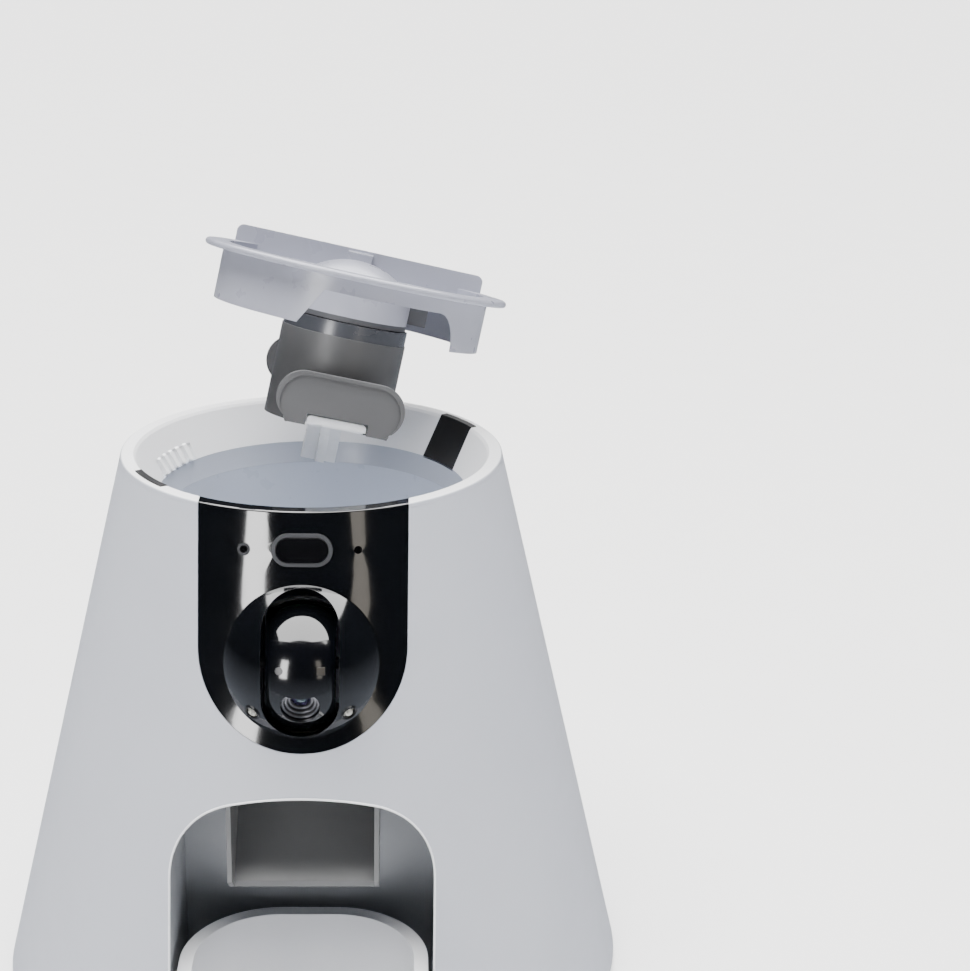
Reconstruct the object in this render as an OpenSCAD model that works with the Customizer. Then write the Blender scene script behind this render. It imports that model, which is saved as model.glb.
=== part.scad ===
// Automatic pet feeder with a camera: the base unit with its dispensing insert lifted out.
// Millimetres, +Z up, origin on the floor under the rim's centre, front towards -Y.

/* [Body] */
// Height of the rim above the floor
body_h = 210; // [205:1:225]
// Outer radius of the rim
rim_r = 70; // [69:0.25:73]
// Growth of the radius for each millimetre down from the rim
body_slope = 0.2427; // [0.235:0.0025:0.26]
// Wall of the outer shell, measured level
shell_wall = 2.6; // [2.2:0.1:3]
// Height of the shell's lower edge above the floor
shell_foot = 4; // [3.5:0.25:5]

/* [Rim] */
// Height of the rim's outer lip
lip_h = 1.6; // [1.3:0.1:2.2]
// Radius of the rim's rounded outer edge
lip_round = 0.8; // [0.5:0.1:1.1]
// Inner radius at the top of the rim
rim_in_r = 65; // [64:0.25:66]
// Radius of the throat at the foot of the inner cone
throat_r = 57; // [56.6:0.1:58]
// Depth of the throat below the rim
throat_depth = 15.5; // [14.5:0.25:16.5]
// Wall of the inner cone, measured level
rim_wall = 2.6; // [2.4:0.1:3]
// Number of short ribs on the inner cone
rib_count = 5; // [3:1:6]
// Thickness of one rib
rib_t = 2.2; // [1.6:0.1:2.6]
// Height of a rib above the cone
rib_rise = 1.1; // [0.6:0.1:1.4]
// Depth of the grooves between the ribs
rib_groove = 1.2; // [0.6:0.1:1.5]
// Angle of the middle rib, from +X towards +Y
rib_angle = 158; // [152:1:166]
// Angle between neighbouring ribs
rib_step = 4.6; // [4:0.1:6]

/* [Sensor windows] */
// Width of a black sensor window
window_w = 20; // [16:0.5:22]
// Thickness of a sensor window
window_t = 1.2; // [1:0.1:1.5]
// Angle of the right window, from +X towards +Y
window_angle = 33.5; // [29:0.5:38]
// Clearance round a sensor window
window_gap = 0.12; // [0.08:0.02:0.2]
// Distance of a sensor window's end from the rim's outer edge
window_lip = 2.3; // [1.8:0.1:2.8]

/* [Front panel] */
// Half the width of the panel
panel_half_w = 35.6; // [34:0.2:37]
// Length of the panel down the slope from the rim
panel_len = 82.4; // [79:0.5:84]
// Width of the straight part at the panel's lower end
panel_flat = 0.6; // [0.4:0.2:6]
// Thickness of the panel
panel_t = 3; // [2.6:0.1:3.4]
// Thickness of the panel's band over the rim
panel_band = 1.8; // [1.4:0.1:2.2]
// Clearance round the panel
panel_gap = 0.15; // [0.1:0.05:0.25]

/* [Buttons] */
// Distance of the feed button from the rim, down the slope
feed_down = 12.9; // [12:0.1:14]
// Outer width of the feed button's ring
feed_ring_w = 20.7; // [18:0.1:22]
// Outer height of the feed button's ring
feed_ring_h = 11.3; // [10:0.1:12.5]
// Band of the feed button's ring
feed_band = 1.4; // [1.2:0.1:1.8]
// Clearance between button and ring
button_gap = 0.2; // [0.1:0.05:0.35]
// Travel of the feed button
feed_travel = 1; // [0.6:0.1:1.2]
// Distance of the set button from the panel's middle
set_x = 19.7; // [18:0.1:21]
// Outer radius of the ring round the set button
set_ring_r = 2.1; // [1.8:0.1:2.4]
// Radius of the set button
set_button_r = 1.1; // [0.9:0.05:1.3]
// Travel of the set button
set_travel = 0.6; // [0.3:0.1:0.8]
// Distance of the microphone hole from the panel's middle
mic_x = 18.8; // [17:0.1:20]
// Radius of the microphone hole
mic_hole_r = 1.35; // [1:0.05:1.8]
// Depth of the button board behind the panel's face
board_back = 7.8; // [7.6:0.1:8.2]
// Thickness of a circuit board
board_t = 1.2; // [1:0.1:1.6]

/* [Camera] */
// Distance of the camera's middle from the rim, down the slope
dome_down = 50.9; // [50:0.1:51.5]
// Radius of the dome where it leaves the panel
dome_r = 26.3; // [26:0.1:26.5]
// Rise of the dome above the panel
dome_rise = 14; // [13.5:0.1:14.5]
// Wall of the dome
dome_wall = 1.8; // [1.4:0.1:2.1]
// Width of the slot for the tilting head
slot_w = 26.2; // [25.8:0.1:26.6]
// Length of the slot for the tilting head
slot_len = 50.8; // [50.2:0.1:51]
// Width of the tilting head
head_w = 23.6; // [23:0.1:24]
// Radius of the tilting head's ball
head_r = 23.6; // [23.3:0.1:23.7]
// Radius of the back of the tilting head
head_back_r = 18.5; // [17.5:0.25:19]
// Depth of the tilt axis behind the panel's face
tilt_depth = 12.4; // [12:0.1:12.8]
// Drop of the tilt axis below the camera's middle, along the slope
tilt_drop = 2.5; // [2.3:0.1:2.6]
// Radius of the tilt pins
tilt_pin_r = 2; // [1.6:0.1:2.4]
// Running clearance of the pins and shafts
run_gap = 0.05; // [0.03:0.01:0.08]
// Downward pitch of the lens
lens_pitch = 17; // [15:1:20]
// Outer radius of the lens barrel
lens_r = 6.6; // [6:0.1:6.8]
// Upward pitch of the head window
window_pitch = 17; // [15:1:18]
// Width of the head window
head_window_w = 24.6; // [24.4:0.2:26]
// Height of the head window
head_window_h = 18.8; // [18:0.2:19.4]
// Sag of the head window's upper edge
window_sag_top = 1.2; // [0.8:0.1:1.6]
// Sag of the head window's lower edge
window_sag_low = 4.6; // [4:0.1:5]
// Upward pitch of the light sensor
sensor_pitch = 17; // [14:1:18]
// Distance of the light sensor and the status light from the head's middle
sensor_x = 7; // [6:0.1:7.4]
// Distance of each night light from the camera's middle, sideways
led_x = 16.3; // [15.8:0.1:17]
// Distance of each night light below the camera's middle, along the slope
led_down = 16.5; // [15.5:0.1:17]
// Radius of a night light
led_r = 2.1; // [1.8:0.1:2.3]
// Thickness of the camera's mounting flange
camera_flange_t = 1.5; // [1.2:0.1:2]
// Radius of the circle of camera screws
camera_pcr = 29.5; // [29.2:0.1:29.8]

/* [Chamber] */
// Inner radius of the food chamber
chamber_r = 54.6; // [54.2:0.1:54.8]
// Wall of the food chamber
chamber_wall = 2; // [1.6:0.1:2.3]
// Depth of the ledge that carries the insert, below the throat
ledge_depth = 3; // [2.8:0.1:3.4]
// Depth of the chamber's floor below the ledge
chamber_depth = 59; // [58:0.5:62]
// Distance of the chamber's flat front from its axis
chamber_flat = 48.8; // [48.6:0.1:49]
// Inner radius of the outlet in the floor
outlet_in_r = 25; // [24.5:0.5:27]
// Outer radius of the outlet in the floor
outlet_out_r = 46.5; // [44:0.5:47]
// Half the angle of the outlet
outlet_half_angle = 31; // [26:1:31]

/* [Insert] */
// Radius of the insert's flange
flange_r = 56; // [55.4:0.1:56.4]
// Thickness of the insert's flange
flange_t = 2.4; // [2:0.1:3]
// Outer radius of the insert's skirt
skirt_r = 49.2; // [48.6:0.1:49.3]
// Wall of the skirt
skirt_wall = 1.8; // [1.4:0.1:2.4]
// Height of the skirt
skirt_h = 18.2; // [16:0.2:20]
// Height of the lip over the skirt's front opening
skirt_lip = 5.3; // [4:0.1:6.2]
// Distance of the upright wall behind the axis
wall_back = 27; // [25:0.5:30]
// Height of the upright wall above the flange
wall_rise = 6.4; // [5:0.2:8]
// Half the length of the upright wall
wall_half = 47.6; // [45:0.2:47.6]
// Radius of the hub under the insert
hub_r = 23; // [22:0.25:24]
// Radius of the white collar
collar_r = 21.8; // [21.4:0.1:22]
// Rise of the hub's dome above the flange
hub_dome_rise = 3; // [1.5:0.25:4]
// Depth of the white collar below the flange
collar_h = 14.5; // [13.5:0.25:15.5]
// Height of the dark seal
seal_h = 1.9; // [1.6:0.1:2.4]
// Height of the slate ring
slate_h = 5.2; // [4.6:0.1:6]
// Height of the rotor's hub
rotor_h = 33.2; // [32:0.2:34]
// Running gap between seal and slate ring
rotor_gap = 0.3; // [0.2:0.05:0.5]
// Turn of the rotor towards the viewer's right
rotor_turn = 8; // [0:1:16]
// Width of a paddle
paddle_w = 46.2; // [42:0.2:48]
// Height of a paddle
paddle_h = 19; // [18:0.2:20]
// Distance of a paddle's inner face from the axis
paddle_rho = 28.6; // [27:0.2:30]
// Thickness of a paddle
paddle_t = 2; // [1.6:0.1:2.6]
// Height of the back paddle above the front one
paddle_stagger = 6.5; // [4:0.5:8]
// Radius of a paddle's upper corners
paddle_corner_r = 9.5; // [8:0.25:10]
// Width of the translucent foot bar
bar_w = 21.6; // [18:0.2:24]
// Height of the foot bar
bar_h = 4; // [3.6:0.1:4.4]
// Radius of the fluted post
post_r = 6.5; // [6:0.1:7]
// Width of one of the post's arms
post_arm = 3.2; // [2.8:0.1:3.8]
// Length of the fluted post
post_len = 15.1; // [14.5:0.1:15.8]

/* [Lift] */
// Tilt of the lifted insert
lift_tilt = 15.9; // [15:0.1:16.5]
// Direction towards which the lifted insert leans, from +X towards +Y
lift_dir = 42.5; // [40:0.5:45]
// Distance of the lifting arc's axis from the feeder's axis
lift_reach = 298; // [285:1:310]
// Depth of the lifting arc's axis below the seated flange
lift_drop = 36; // [34:1:40]

/* [Drive] */
// Module of the gears
gear_module = 1; // [0.96:0.01:1.02]
// Teeth of the output gear
output_teeth = 36; // [34:1:38]
// Teeth of the idler's small gear
idler_small_teeth = 12; // [12:1:14]
// Teeth of the idler's large gear
idler_large_teeth = 32; // [28:1:34]
// Teeth of the motor's pinion
pinion_teeth = 12; // [12:1:14]
// Width of a gear's teeth
gear_w = 6; // [5:0.25:6.5]
// Backlash of the teeth
gear_backlash = 0.25; // [0.15:0.05:0.35]
// Clearance of the post in its socket
socket_gap = 0.9; // [0.8:0.05:1]
// Depth of the post's socket
socket_depth = 7; // [6:0.25:8]
// Radius of the drive motor
motor_r = 12; // [10:0.25:13]
// Length of the drive motor
motor_len = 34; // [28:0.5:38]
// Wall of the gearbox
box_wall = 2; // [1.6:0.1:2.4]

/* [Outlet] */
// Height of the arch's top above the floor
arch_top = 114.6; // [110:0.2:116]
// Half the width of the arch
arch_half_w = 46; // [44:0.5:48]
// Radius of the arch's corners
arch_corner_r = 30; // [28:0.5:32]
// Radius of the arch's crown
arch_crown_r = 85; // [80:1:95]
// Half the distance between the chute's walls, at their middles
chute_half_w = 25.6; // [24.8:0.1:26.2]
// Wall of the chute
chute_wall = 1.7; // [1.4:0.1:2]
// Height of the chute's lower end
chute_end_z = 74; // [70:0.5:78]
// Distance of the chute's lower end from the axis
chute_end_y = 78; // [74:0.5:80]
// Distance of the alcove's back wall from the axis
alcove_back = 44; // [43:0.25:46]
// Wall of the alcove's liner
alcove_wall = 2; // [1.6:0.1:2.4]

/* [Base and bowl] */
// Thickness of the base plate
base_t = 3; // [2.6:0.1:4]
// Radius of a rubber foot
foot_r = 8; // [6:0.25:9]
// Gap between the bowl's back and the alcove's back wall
bowl_back_gap = 6; // [3:0.5:10]
// Width of the bowl
bowl_w = 88; // [80:1:90]
// Length of the bowl
bowl_len = 116; // [100:1:120]
// Height of the bowl
bowl_h = 40; // [32:1:46]
// Wall of the bowl
bowl_wall = 2; // [1.6:0.1:3]
// Corner radius of the bowl
bowl_corner_r = 34; // [28:1:38]
// Gap between bowl and tongue's front edge
bowl_set_back = 4; // [2:0.5:8]

/* [Inside] */
// Radius of the speaker
speaker_r = 20; // [16:0.5:22]
// Height of the speaker's middle
speaker_z = 70; // [60:1:80]
// Height of the power jack's middle
jack_z = 22; // [20:0.5:26]
// Radius of the power jack's nose
jack_r = 4.4; // [4:0.1:5]
// Width of the main board
main_board_w = 78; // [60:1:84]
// Depth of the main board
main_board_d = 56; // [44:1:60]
// Height of the main board above the base plate
main_board_up = 8; // [6:0.5:12]
// Radius of a screw's shank
screw_r = 1.5; // [1.3:0.05:1.7]

/* [Hidden] */
$fn = 96;
fine = 0.01;
seat_gap = 0.3;
touch_gap = 0.1;

lean = atan(body_slope);
function body_r(z) = rim_r + body_slope * (body_h - z);
function cone_r(z) = throat_r + (rim_in_r - throat_r) * (z - throat_z) / throat_depth;

throat_z = body_h - throat_depth;
shell_top = body_h - lip_h;
lip_at = body_r(body_h - lip_round) - lip_round;
base_top = shell_foot + base_t;

dome_z = body_h - dome_down * cos(lean);
dome_y = -body_r(dome_z);
sphere_r = (dome_r * dome_r + dome_rise * dome_rise) / (2 * dome_rise);
sphere_w = dome_rise - sphere_r;
feed_v = dome_down - feed_down;
panel_low_v = dome_down - panel_len;
panel_corner_r = panel_half_w - panel_flat / 2;
panel_high_v = dome_down + 12;
flange_w = -(panel_t + camera_pcr * camera_pcr / (2 * -dome_y) + 1.4);
yoke_w = flange_w - camera_flange_t;
yoke_t = 1.8;
yoke_in_r = head_r + tilt_drop + 0.8;
camera_flange_r = yoke_in_r + 4.8;
yoke_x = head_w / 2 + 2;
yoke_plate = 2;
tilt_y = dome_y - tilt_drop * sin(lean) + tilt_depth * cos(lean);
tilt_z = dome_z - tilt_drop * cos(lean) - tilt_depth * sin(lean);
sector_half = 100;

ledge_z = throat_z - ledge_depth;
chamber_top = ledge_z - 5;
floor_z = ledge_z - chamber_depth;
floor_under = floor_z - chamber_wall;
axle_hole_r = post_r + 2.5;

seat_z = ledge_z + seat_gap;
flat_top_z = seat_z - skirt_lip - 0.6 - chamber_wall;
collar_z = -collar_h;
seal_z = collar_z - seal_h;
slate_top = seal_z - rotor_gap;
rotor_top = slate_top - slate_h;
rotor_low = rotor_top - rotor_h;
bar_top = rotor_low + 4.6;
bar_low = bar_top - bar_h;
post_low = bar_low - post_len;
axle_r = 3;
bar_half = paddle_rho + paddle_t * 0.6;
post_tip_z = seat_z + post_low;

socket_floor = post_tip_z - touch_gap * 4;
socket_top = socket_floor + socket_depth;
output_z = socket_floor - gear_w - 1.4;
idler_z = output_z - gear_w - 1.6;
box_low = idler_z - 1.4 - box_wall;
box_high = output_z + gear_w + 2.2;
cover_t = 3;
cover_top = box_high + cover_t;
journal_r = post_r + socket_gap + 2.4;
bush_r = journal_r + run_gap + 2;
idler_y = gear_module * (output_teeth + idler_small_teeth) / 2;
motor_reach = gear_module * (idler_large_teeth + pinion_teeth) / 2;
motor_x = motor_reach * cos(45);
motor_y = idler_y + motor_reach * sin(45);
stub_r = 3;
pin_r = 2;
shaft_r = 1.5;
lug_r = screw_r + 3;
lugs = [[-gear_module * output_teeth * 0.6 - 3, -9], [gear_module * output_teeth * 0.6 + 3, -9],
    [-gear_module * idler_large_teeth / 2 - 3, idler_y + 12]];

arch_corner_x = arch_half_w - arch_corner_r;
arch_crown_z = arch_top - arch_crown_r;
arch_spring_z = arch_crown_z + sqrt(pow(arch_crown_r - arch_corner_r, 2) - arch_corner_x * arch_corner_x);
bowl_front = -(alcove_back + alcove_wall + bowl_back_gap + bowl_len);
tongue_front = bowl_set_back - bowl_front;
bowl_z = base_top + seat_gap;
chute_front_z = arch_top - 1.7;
chute_front_y = -sqrt(pow(body_r(chute_front_z) - shell_wall, 2) - pow(chute_half_w + chute_wall, 2)) + 0.6;
chute_back_y = -outlet_in_r * cos(outlet_half_angle) + chute_wall + 0.6;
chute_roof_y = -chamber_flat - 1.6;
base_screw_angles = [20, 160, 200, 340];
boss_r = screw_r + 3.2;
main_board_y = 52;
base_boss_at = body_r(base_top + 9) - shell_wall - boss_r + 1;

// Places its children on the panel: x to the right, y up the slope, z out of the panel
module on_panel() { translate([0, dome_y, dome_z]) rotate([90 - lean, 0, 0]) children(); }

// Places its children on the shell's back at a height, with z pointing out
module on_rear(z) { translate([0, body_r(z), z]) rotate([lean - 90, 0, 0]) children(); }

// Places its children in the head's frame, with -Y looking along a downward pitch
module in_head(pitch) { translate([0, tilt_y, tilt_z]) rotate([pitch, 0, 0]) children(); }

// Places the insert's pieces, drawn with z = 0 at the seated flange's underside, where it hangs lifted
module lifted() {
    arc = [lift_reach * cos(lift_dir), lift_reach * sin(lift_dir), seat_z - lift_drop];
    translate(arc) rotate(a = lift_tilt, v = [-sin(lift_dir), cos(lift_dir), 0]) translate(-arc)
        translate([0, 0, seat_z]) children();
}

// The lifted rotor's pieces, turned a little about their axis
module rotor() { lifted() rotate([0, 0, rotor_turn]) children(); }

// A solid cone that follows the body's slope, moved in or out by an offset
module body_cone(z0, z1, offset_r) {
    translate([0, 0, z0]) cylinder(h = z1 - z0, r1 = body_r(z0) + offset_r, r2 = body_r(z1) + offset_r);
}

module tube(r_out, r_in, z0, z1) {
    difference() {
        translate([0, 0, z0]) cylinder(h = z1 - z0, r = r_out);
        translate([0, 0, z0 - 1]) cylinder(h = z1 - z0 + 2, r = r_in);
    }
}

module rod(r, z0, z1) { translate([0, 0, z0]) cylinder(h = z1 - z0, r = r); }

module stadium(w, h) {
    square([w - h, h], center = true);
    for (s = [-1, 1]) translate([s * (w - h) / 2, 0]) circle(h / 2);
}

module round_box(w, d, r) {
    square([w - 2 * r, d], center = true);
    square([w, d - 2 * r], center = true);
    for (sx = [-1, 1], sy = [-1, 1]) translate([sx * (w / 2 - r), sy * (d / 2 - r)]) circle(r);
}

// One gear's outline: involute flanks between root and tip
function involute(base, a) = [base * (cos(a) + a * PI / 180 * sin(a)), base * (sin(a) - a * PI / 180 * cos(a))];
function turned(p, a) = [p[0] * cos(a) - p[1] * sin(a), p[0] * sin(a) + p[1] * cos(a)];
function unwind(base, r) = r <= base ? 0 : sqrt(pow(r / base, 2) - 1) * 180 / PI;
function flank(base, r0, r1, n) = [for (i = [0 : n]) involute(base, unwind(base, r0 + (r1 - r0) * i / n))];
function tooth(teeth, m) =
    let (pitch = m * teeth / 2, base = pitch * cos(20), tip = pitch + m * 0.95, root = pitch - m * 1.25,
        at_pitch = involute(base, unwind(base, pitch)),
        half = 90 / teeth - gear_backlash / 2 / pitch * 180 / PI + atan2(at_pitch[1], at_pitch[0]),
        side = flank(base, max(base, root), tip, 5))
    concat([turned([root, 0], -half)], [for (p = side) turned(p, -half)],
        [for (i = [len(side) - 1 : -1 : 0]) turned([side[i][0], -side[i][1]], half)],
        [turned([root, 0], half)]);
module gear_outline(teeth, m) {
    polygon([for (k = [0 : teeth - 1]) for (p = tooth(teeth, m)) turned(p, 360 * k / teeth)]);
}

// Turn of a gear that sets one of its gaps on a tooth of an unturned mate lying at an angle from it
function mesh_turn(teeth, mate_teeth, angle_to_mate) =
    let (mate_phase = (angle_to_mate + 180) * mate_teeth / 360, part = mate_phase - floor(mate_phase))
    angle_to_mate + 180 / teeth + part * 360 / teeth;
small_gear_turn = mesh_turn(idler_small_teeth, output_teeth, -90);
pinion_turn = mesh_turn(pinion_teeth, idler_large_teeth, -135);

// Outline of the panel in its own plane
module panel_outline(grow) {
    side = panel_half_w - panel_corner_r;
    arc_v = panel_low_v + panel_corner_r;
    translate([-panel_half_w - grow, arc_v]) square([2 * (panel_half_w + grow), panel_high_v - arc_v]);
    translate([-side, panel_low_v - grow]) square([2 * side, panel_corner_r + grow]);
    for (s = [-1, 1]) translate([s * side, arc_v]) circle(panel_corner_r + grow);
}

module panel_prism(grow) { on_panel() translate([0, 0, -30]) linear_extrude(45) panel_outline(grow); }

// The rim as it would be with no panel and no windows
module rim_section() {
    polygon(concat([[throat_r, throat_z], [rim_in_r - 0.5, body_h - 1], [rim_in_r + 0.4, body_h]],
        [for (i = [0 : 4]) [lip_at + lip_round * sin(i * 22.5), body_h - lip_round + lip_round * cos(i * 22.5)]],
        [[body_r(shell_top), shell_top], [cone_r(shell_top) + rim_wall, shell_top],
            [throat_r + rim_wall, throat_z]]));
}

// The band of the panel, or of its pocket, within the rim
module panel_skin(grow) {
    intersection() {
        panel_prism(grow);
        union() {
            difference() {
                body_cone(shell_foot, body_h, 0);
                body_cone(shell_foot - 1, body_h + 1, -panel_t - grow);
            }
            tube(rim_r + 1, rim_in_r - 3, body_h - panel_band - grow, body_h);
        }
    }
}

module rim_envelope() {
    rotate_extrude() polygon(concat([[0, shell_foot], [0, body_h - 4], [rim_in_r - 2, body_h - 4],
        [rim_in_r - 0.5, body_h - 1], [rim_in_r + 0.4, body_h]],
        [for (i = [0 : 4]) [lip_at + lip_round * sin(i * 22.5), body_h - lip_round + lip_round * cos(i * 22.5)]],
        [[body_r(shell_foot), shell_foot]]));
}

// Section of a sensor window that lies in the inner cone and over the rim
module window_section(grow) {
    run = norm([rim_in_r - throat_r, throat_depth]);
    nr = throat_depth / run * (window_t + grow);
    nz = (rim_in_r - throat_r) / run * (window_t + grow);
    foot_z = throat_z + 0.1 - 6 * grow;
    top_z = body_h + 0.25 + grow;
    polygon([[cone_r(foot_z) - 0.25 - grow, foot_z], [rim_in_r - 0.5, body_h - 1], [rim_in_r + 0.2, top_z],
        [rim_r - window_lip + grow, top_z], [rim_r - window_lip + grow, body_h - window_t - grow],
        [cone_r(body_h - window_t - grow + nz) + nr, body_h - window_t - grow],
        [cone_r(foot_z + nz) + nr, foot_z]]);
}

module sensor_window(angle, grow) {
    rotate([0, 0, angle]) intersection() {
        rotate_extrude() window_section(grow);
        translate([throat_r - 8, -window_w / 2 - grow, throat_z - 2])
            cube([rim_r - throat_r + 10, window_w + 2 * grow, throat_depth + 5]);
    }
}

module arch_outline(grow) {
    half = arch_half_w + grow;
    over = arch_crown_r + 10;
    side = over * arch_corner_x / (arch_spring_z - arch_crown_z);
    translate([-half, 0]) square([2 * half, arch_spring_z]);
    for (s = [-1, 1]) translate([s * arch_corner_x, arch_spring_z]) circle(arch_corner_r + grow);
    translate([0, arch_crown_z]) intersection() {
        circle(arch_crown_r + grow);
        polygon([[0, 0], [side, over], [-side, over]]);
    }
}

// The arch's outline pushed from one distance before the axis to another
module arch_prism(grow, y_front, y_back) {
    translate([0, -y_back, 0]) rotate([90, 0, 0]) linear_extrude(y_front - y_back) arch_outline(grow);
}

module outer_shell() {
    color([0.92, 0.92, 0.95]) difference() {
        union() {
            difference() {
                body_cone(shell_foot, shell_top, 0);
                body_cone(shell_foot - fine, shell_top + fine, -shell_wall);
            }
            intersection() {
                body_cone(shell_foot, shell_top, -shell_wall / 2);
                union() {
                    on_rear(speaker_z) tube(speaker_r + 3, speaker_r + 0.6, -12, 0);
                    for (a = base_screw_angles) rotate([0, 0, a]) translate([base_boss_at, 0, 0])
                        rod(boss_r, base_top, base_top + 18);
                }
            }
        }
        panel_prism(panel_gap);
        arch_prism(0, body_r(0) + 10, 30);
        on_rear(jack_z) rod(jack_r + touch_gap, -10, 5);
        on_rear(speaker_z) speaker_holes();
        for (a = base_screw_angles) rotate([0, 0, a]) translate([base_boss_at, 0, 0])
            rod(screw_r + run_gap, base_top - 1, base_top + 14);
    }
}

module speaker_holes() {
    for (ring = [0 : 3]) for (k = [0 : max(0, ring * 6 - 1)])
        rotate([0, 0, ring == 0 ? 0 : 60 * k / ring]) translate([speaker_r * ring / 4, 0, 0]) rod(1.3, -6, 3);
}

module rim_ring() {
    color([0.96, 0.96, 0.98]) difference() {
        union() {
            rotate_extrude() rim_section();
            for (k = [0 : rib_count - 1]) rotate([0, 0, rib_angle + rib_step * (k - (rib_count - 1) / 2)])
                rib();
        }
        for (k = [0 : rib_count]) rotate([0, 0, rib_angle + rib_step * (k - rib_count / 2)]) rib_gap();
        panel_skin(panel_gap);
        for (side = [0, 180]) {
            sensor_window(window_angle + side, window_gap);
            ir_sensor(window_angle + side, 0.02);
        }
    }
}

// A short rib along the lower part of the inner cone
module rib() {
    low = throat_z + 0.4;
    high = throat_z + throat_depth * 0.46;
    rotate([90, 0, 0]) translate([0, 0, -rib_t / 2]) linear_extrude(rib_t)
        polygon([[cone_r(low) + 1, low], [cone_r(low) - rib_rise, low + 0.6],
            [cone_r(high) - rib_rise, high - 0.8], [cone_r(high) + 1, high]]);
}

// A groove beside a rib, cut into the cone and open at its foot
module rib_gap() {
    high = throat_z + throat_depth * 0.38;
    width = rib_step * PI / 180 * throat_r - rib_t;
    rotate([90, 0, 0]) translate([0, 0, -width / 2]) linear_extrude(width)
        polygon([[throat_r - 4, throat_z - 1], [cone_r(throat_z - 1) + rib_groove, throat_z - 1],
            [cone_r(high) + rib_groove * 0.4, high], [cone_r(high) - 1, high + 1], [throat_r - 4, high + 1]]);
}

module sensor_window_right() { color([0.04, 0.04, 0.05]) sensor_window(window_angle, 0); }
module sensor_window_left() { color([0.04, 0.04, 0.05]) sensor_window(window_angle + 180, 0); }

// A sensor set through the rim's cone, square to it and against the back of its window
module ir_sensor(angle, grow) {
    z = throat_z + throat_depth / 2;
    rotate([0, 0, angle]) translate([cone_r(z), 0, z])
        rotate([0, atan2(rim_in_r - throat_r, throat_depth), 0])
            translate([window_t + window_gap, -4 - grow, -2.5 - grow])
                cube([3.8, 8 + 2 * grow, 5 + 2 * grow]);
}

module ir_emitter() { color([0.2, 0.2, 0.25]) ir_sensor(window_angle, 0); }
module ir_receiver() { color([0.2, 0.2, 0.25]) ir_sensor(window_angle + 180, 0); }

module front_panel() {
    color([0.03, 0.03, 0.035]) difference() {
        union() {
            intersection() {
                panel_skin(0);
                rim_envelope();
            }
            intersection() {
                body_cone(shell_foot, shell_top, -panel_t + 0.5);
                on_panel() {
                    for (a = [45 : 90 : 315]) rotate([0, 0, a]) translate([camera_pcr, 0, 0])
                        rod(screw_r + 1, flange_w, 0);
                    for (s = [-1, 1]) translate([s * (feed_ring_w + 2), feed_v - 6, 0])
                        rod(2, -board_back, 0);
                }
            }
        }
        on_panel() {
            rod(dome_r + touch_gap, -20, 20);
            translate([0, feed_v, -8]) linear_extrude(16) stadium(feed_ring_w + 0.2, feed_ring_h + 0.2);
            translate([-set_x, feed_v, 0]) rod(set_ring_r + touch_gap, -9, 8);
            translate([mic_x, feed_v, 0]) rod(mic_hole_r, -9, 8);
            for (a = [45 : 90 : 315]) rotate([0, 0, a]) translate([camera_pcr, 0, 0])
                rod(screw_r - 0.3 + run_gap, flange_w - 1, flange_w + 3);
        }
    }
}

module button_ring() {
    color([0.45, 0.46, 0.48]) on_panel() translate([0, feed_v, 0]) difference() {
        translate([0, 0, -panel_t - 0.6]) linear_extrude(panel_t + 0.8) stadium(feed_ring_w, feed_ring_h);
        translate([0, 0, -panel_t - 2]) linear_extrude(panel_t + 4)
            stadium(feed_ring_w - 2 * feed_band, feed_ring_h - 2 * feed_band);
    }
}

module feed_button() {
    inset = 2 * (feed_band + button_gap);
    color([0.04, 0.04, 0.05]) on_panel() translate([0, feed_v, -panel_t]) linear_extrude(panel_t + 0.5)
        stadium(feed_ring_w - inset, feed_ring_h - inset);
}

// Depth of the panel's face behind its middle line at a distance to the side
function panel_sag(x) = x * x / (2 * body_r(dome_z + feed_v * cos(lean)));

module set_ring() {
    color([0.7, 0.7, 0.72]) on_panel() translate([-set_x, feed_v, 0])
        tube(set_ring_r, set_button_r + button_gap, -panel_sag(set_x) - panel_t, -panel_sag(set_x) + 0.25);
}

module set_button() {
    face = -panel_sag(set_x) - 0.5;
    color([0.05, 0.05, 0.06]) on_panel() translate([-set_x, feed_v, 0])
        rod(set_button_r, face - panel_t * 0.6, face);
}

module microphone() {
    color([0.5, 0.5, 0.5]) on_panel() translate([mic_x, feed_v, 0])
        difference() {
            rod(2.6, -board_back, -board_back + 1.4);
            rod(0.6, -board_back + 0.7, 0);
        }
}

module panel_board() {
    color([0.05, 0.25, 0.12]) on_panel() translate([0, feed_v - 4, -board_back - board_t])
        linear_extrude(board_t) round_box(2 * feed_ring_w + 8, 14.5, 2);
}

module switches() {
    color([0.12, 0.12, 0.13]) on_panel() translate([0, feed_v, -board_back]) {
        linear_extrude(board_back - panel_t - feed_travel - 0.2) square([6, 5], center = true);
        translate([-set_x, 0, 0]) linear_extrude(board_back - panel_sag(set_x) - panel_t * 0.6 - 0.5
            - set_travel - 0.2) square(set_ring_r * 1.2, center = true);
    }
}

module slot_prism(grow) {
    translate([0, 0, -14]) linear_extrude(40) rotate(90) stadium(slot_len + 2 * grow, slot_w + 2 * grow);
}

module led_place(side) {
    w = sphere_w + sqrt(sphere_r * sphere_r - led_x * led_x - led_down * led_down);
    on_panel() translate([0, 0, sphere_w])
        rotate([0, 0, atan2(-led_down, side * led_x)])
            rotate([0, acos((w - sphere_w) / sphere_r), 0]) translate([0, 0, sphere_r]) children();
}

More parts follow.
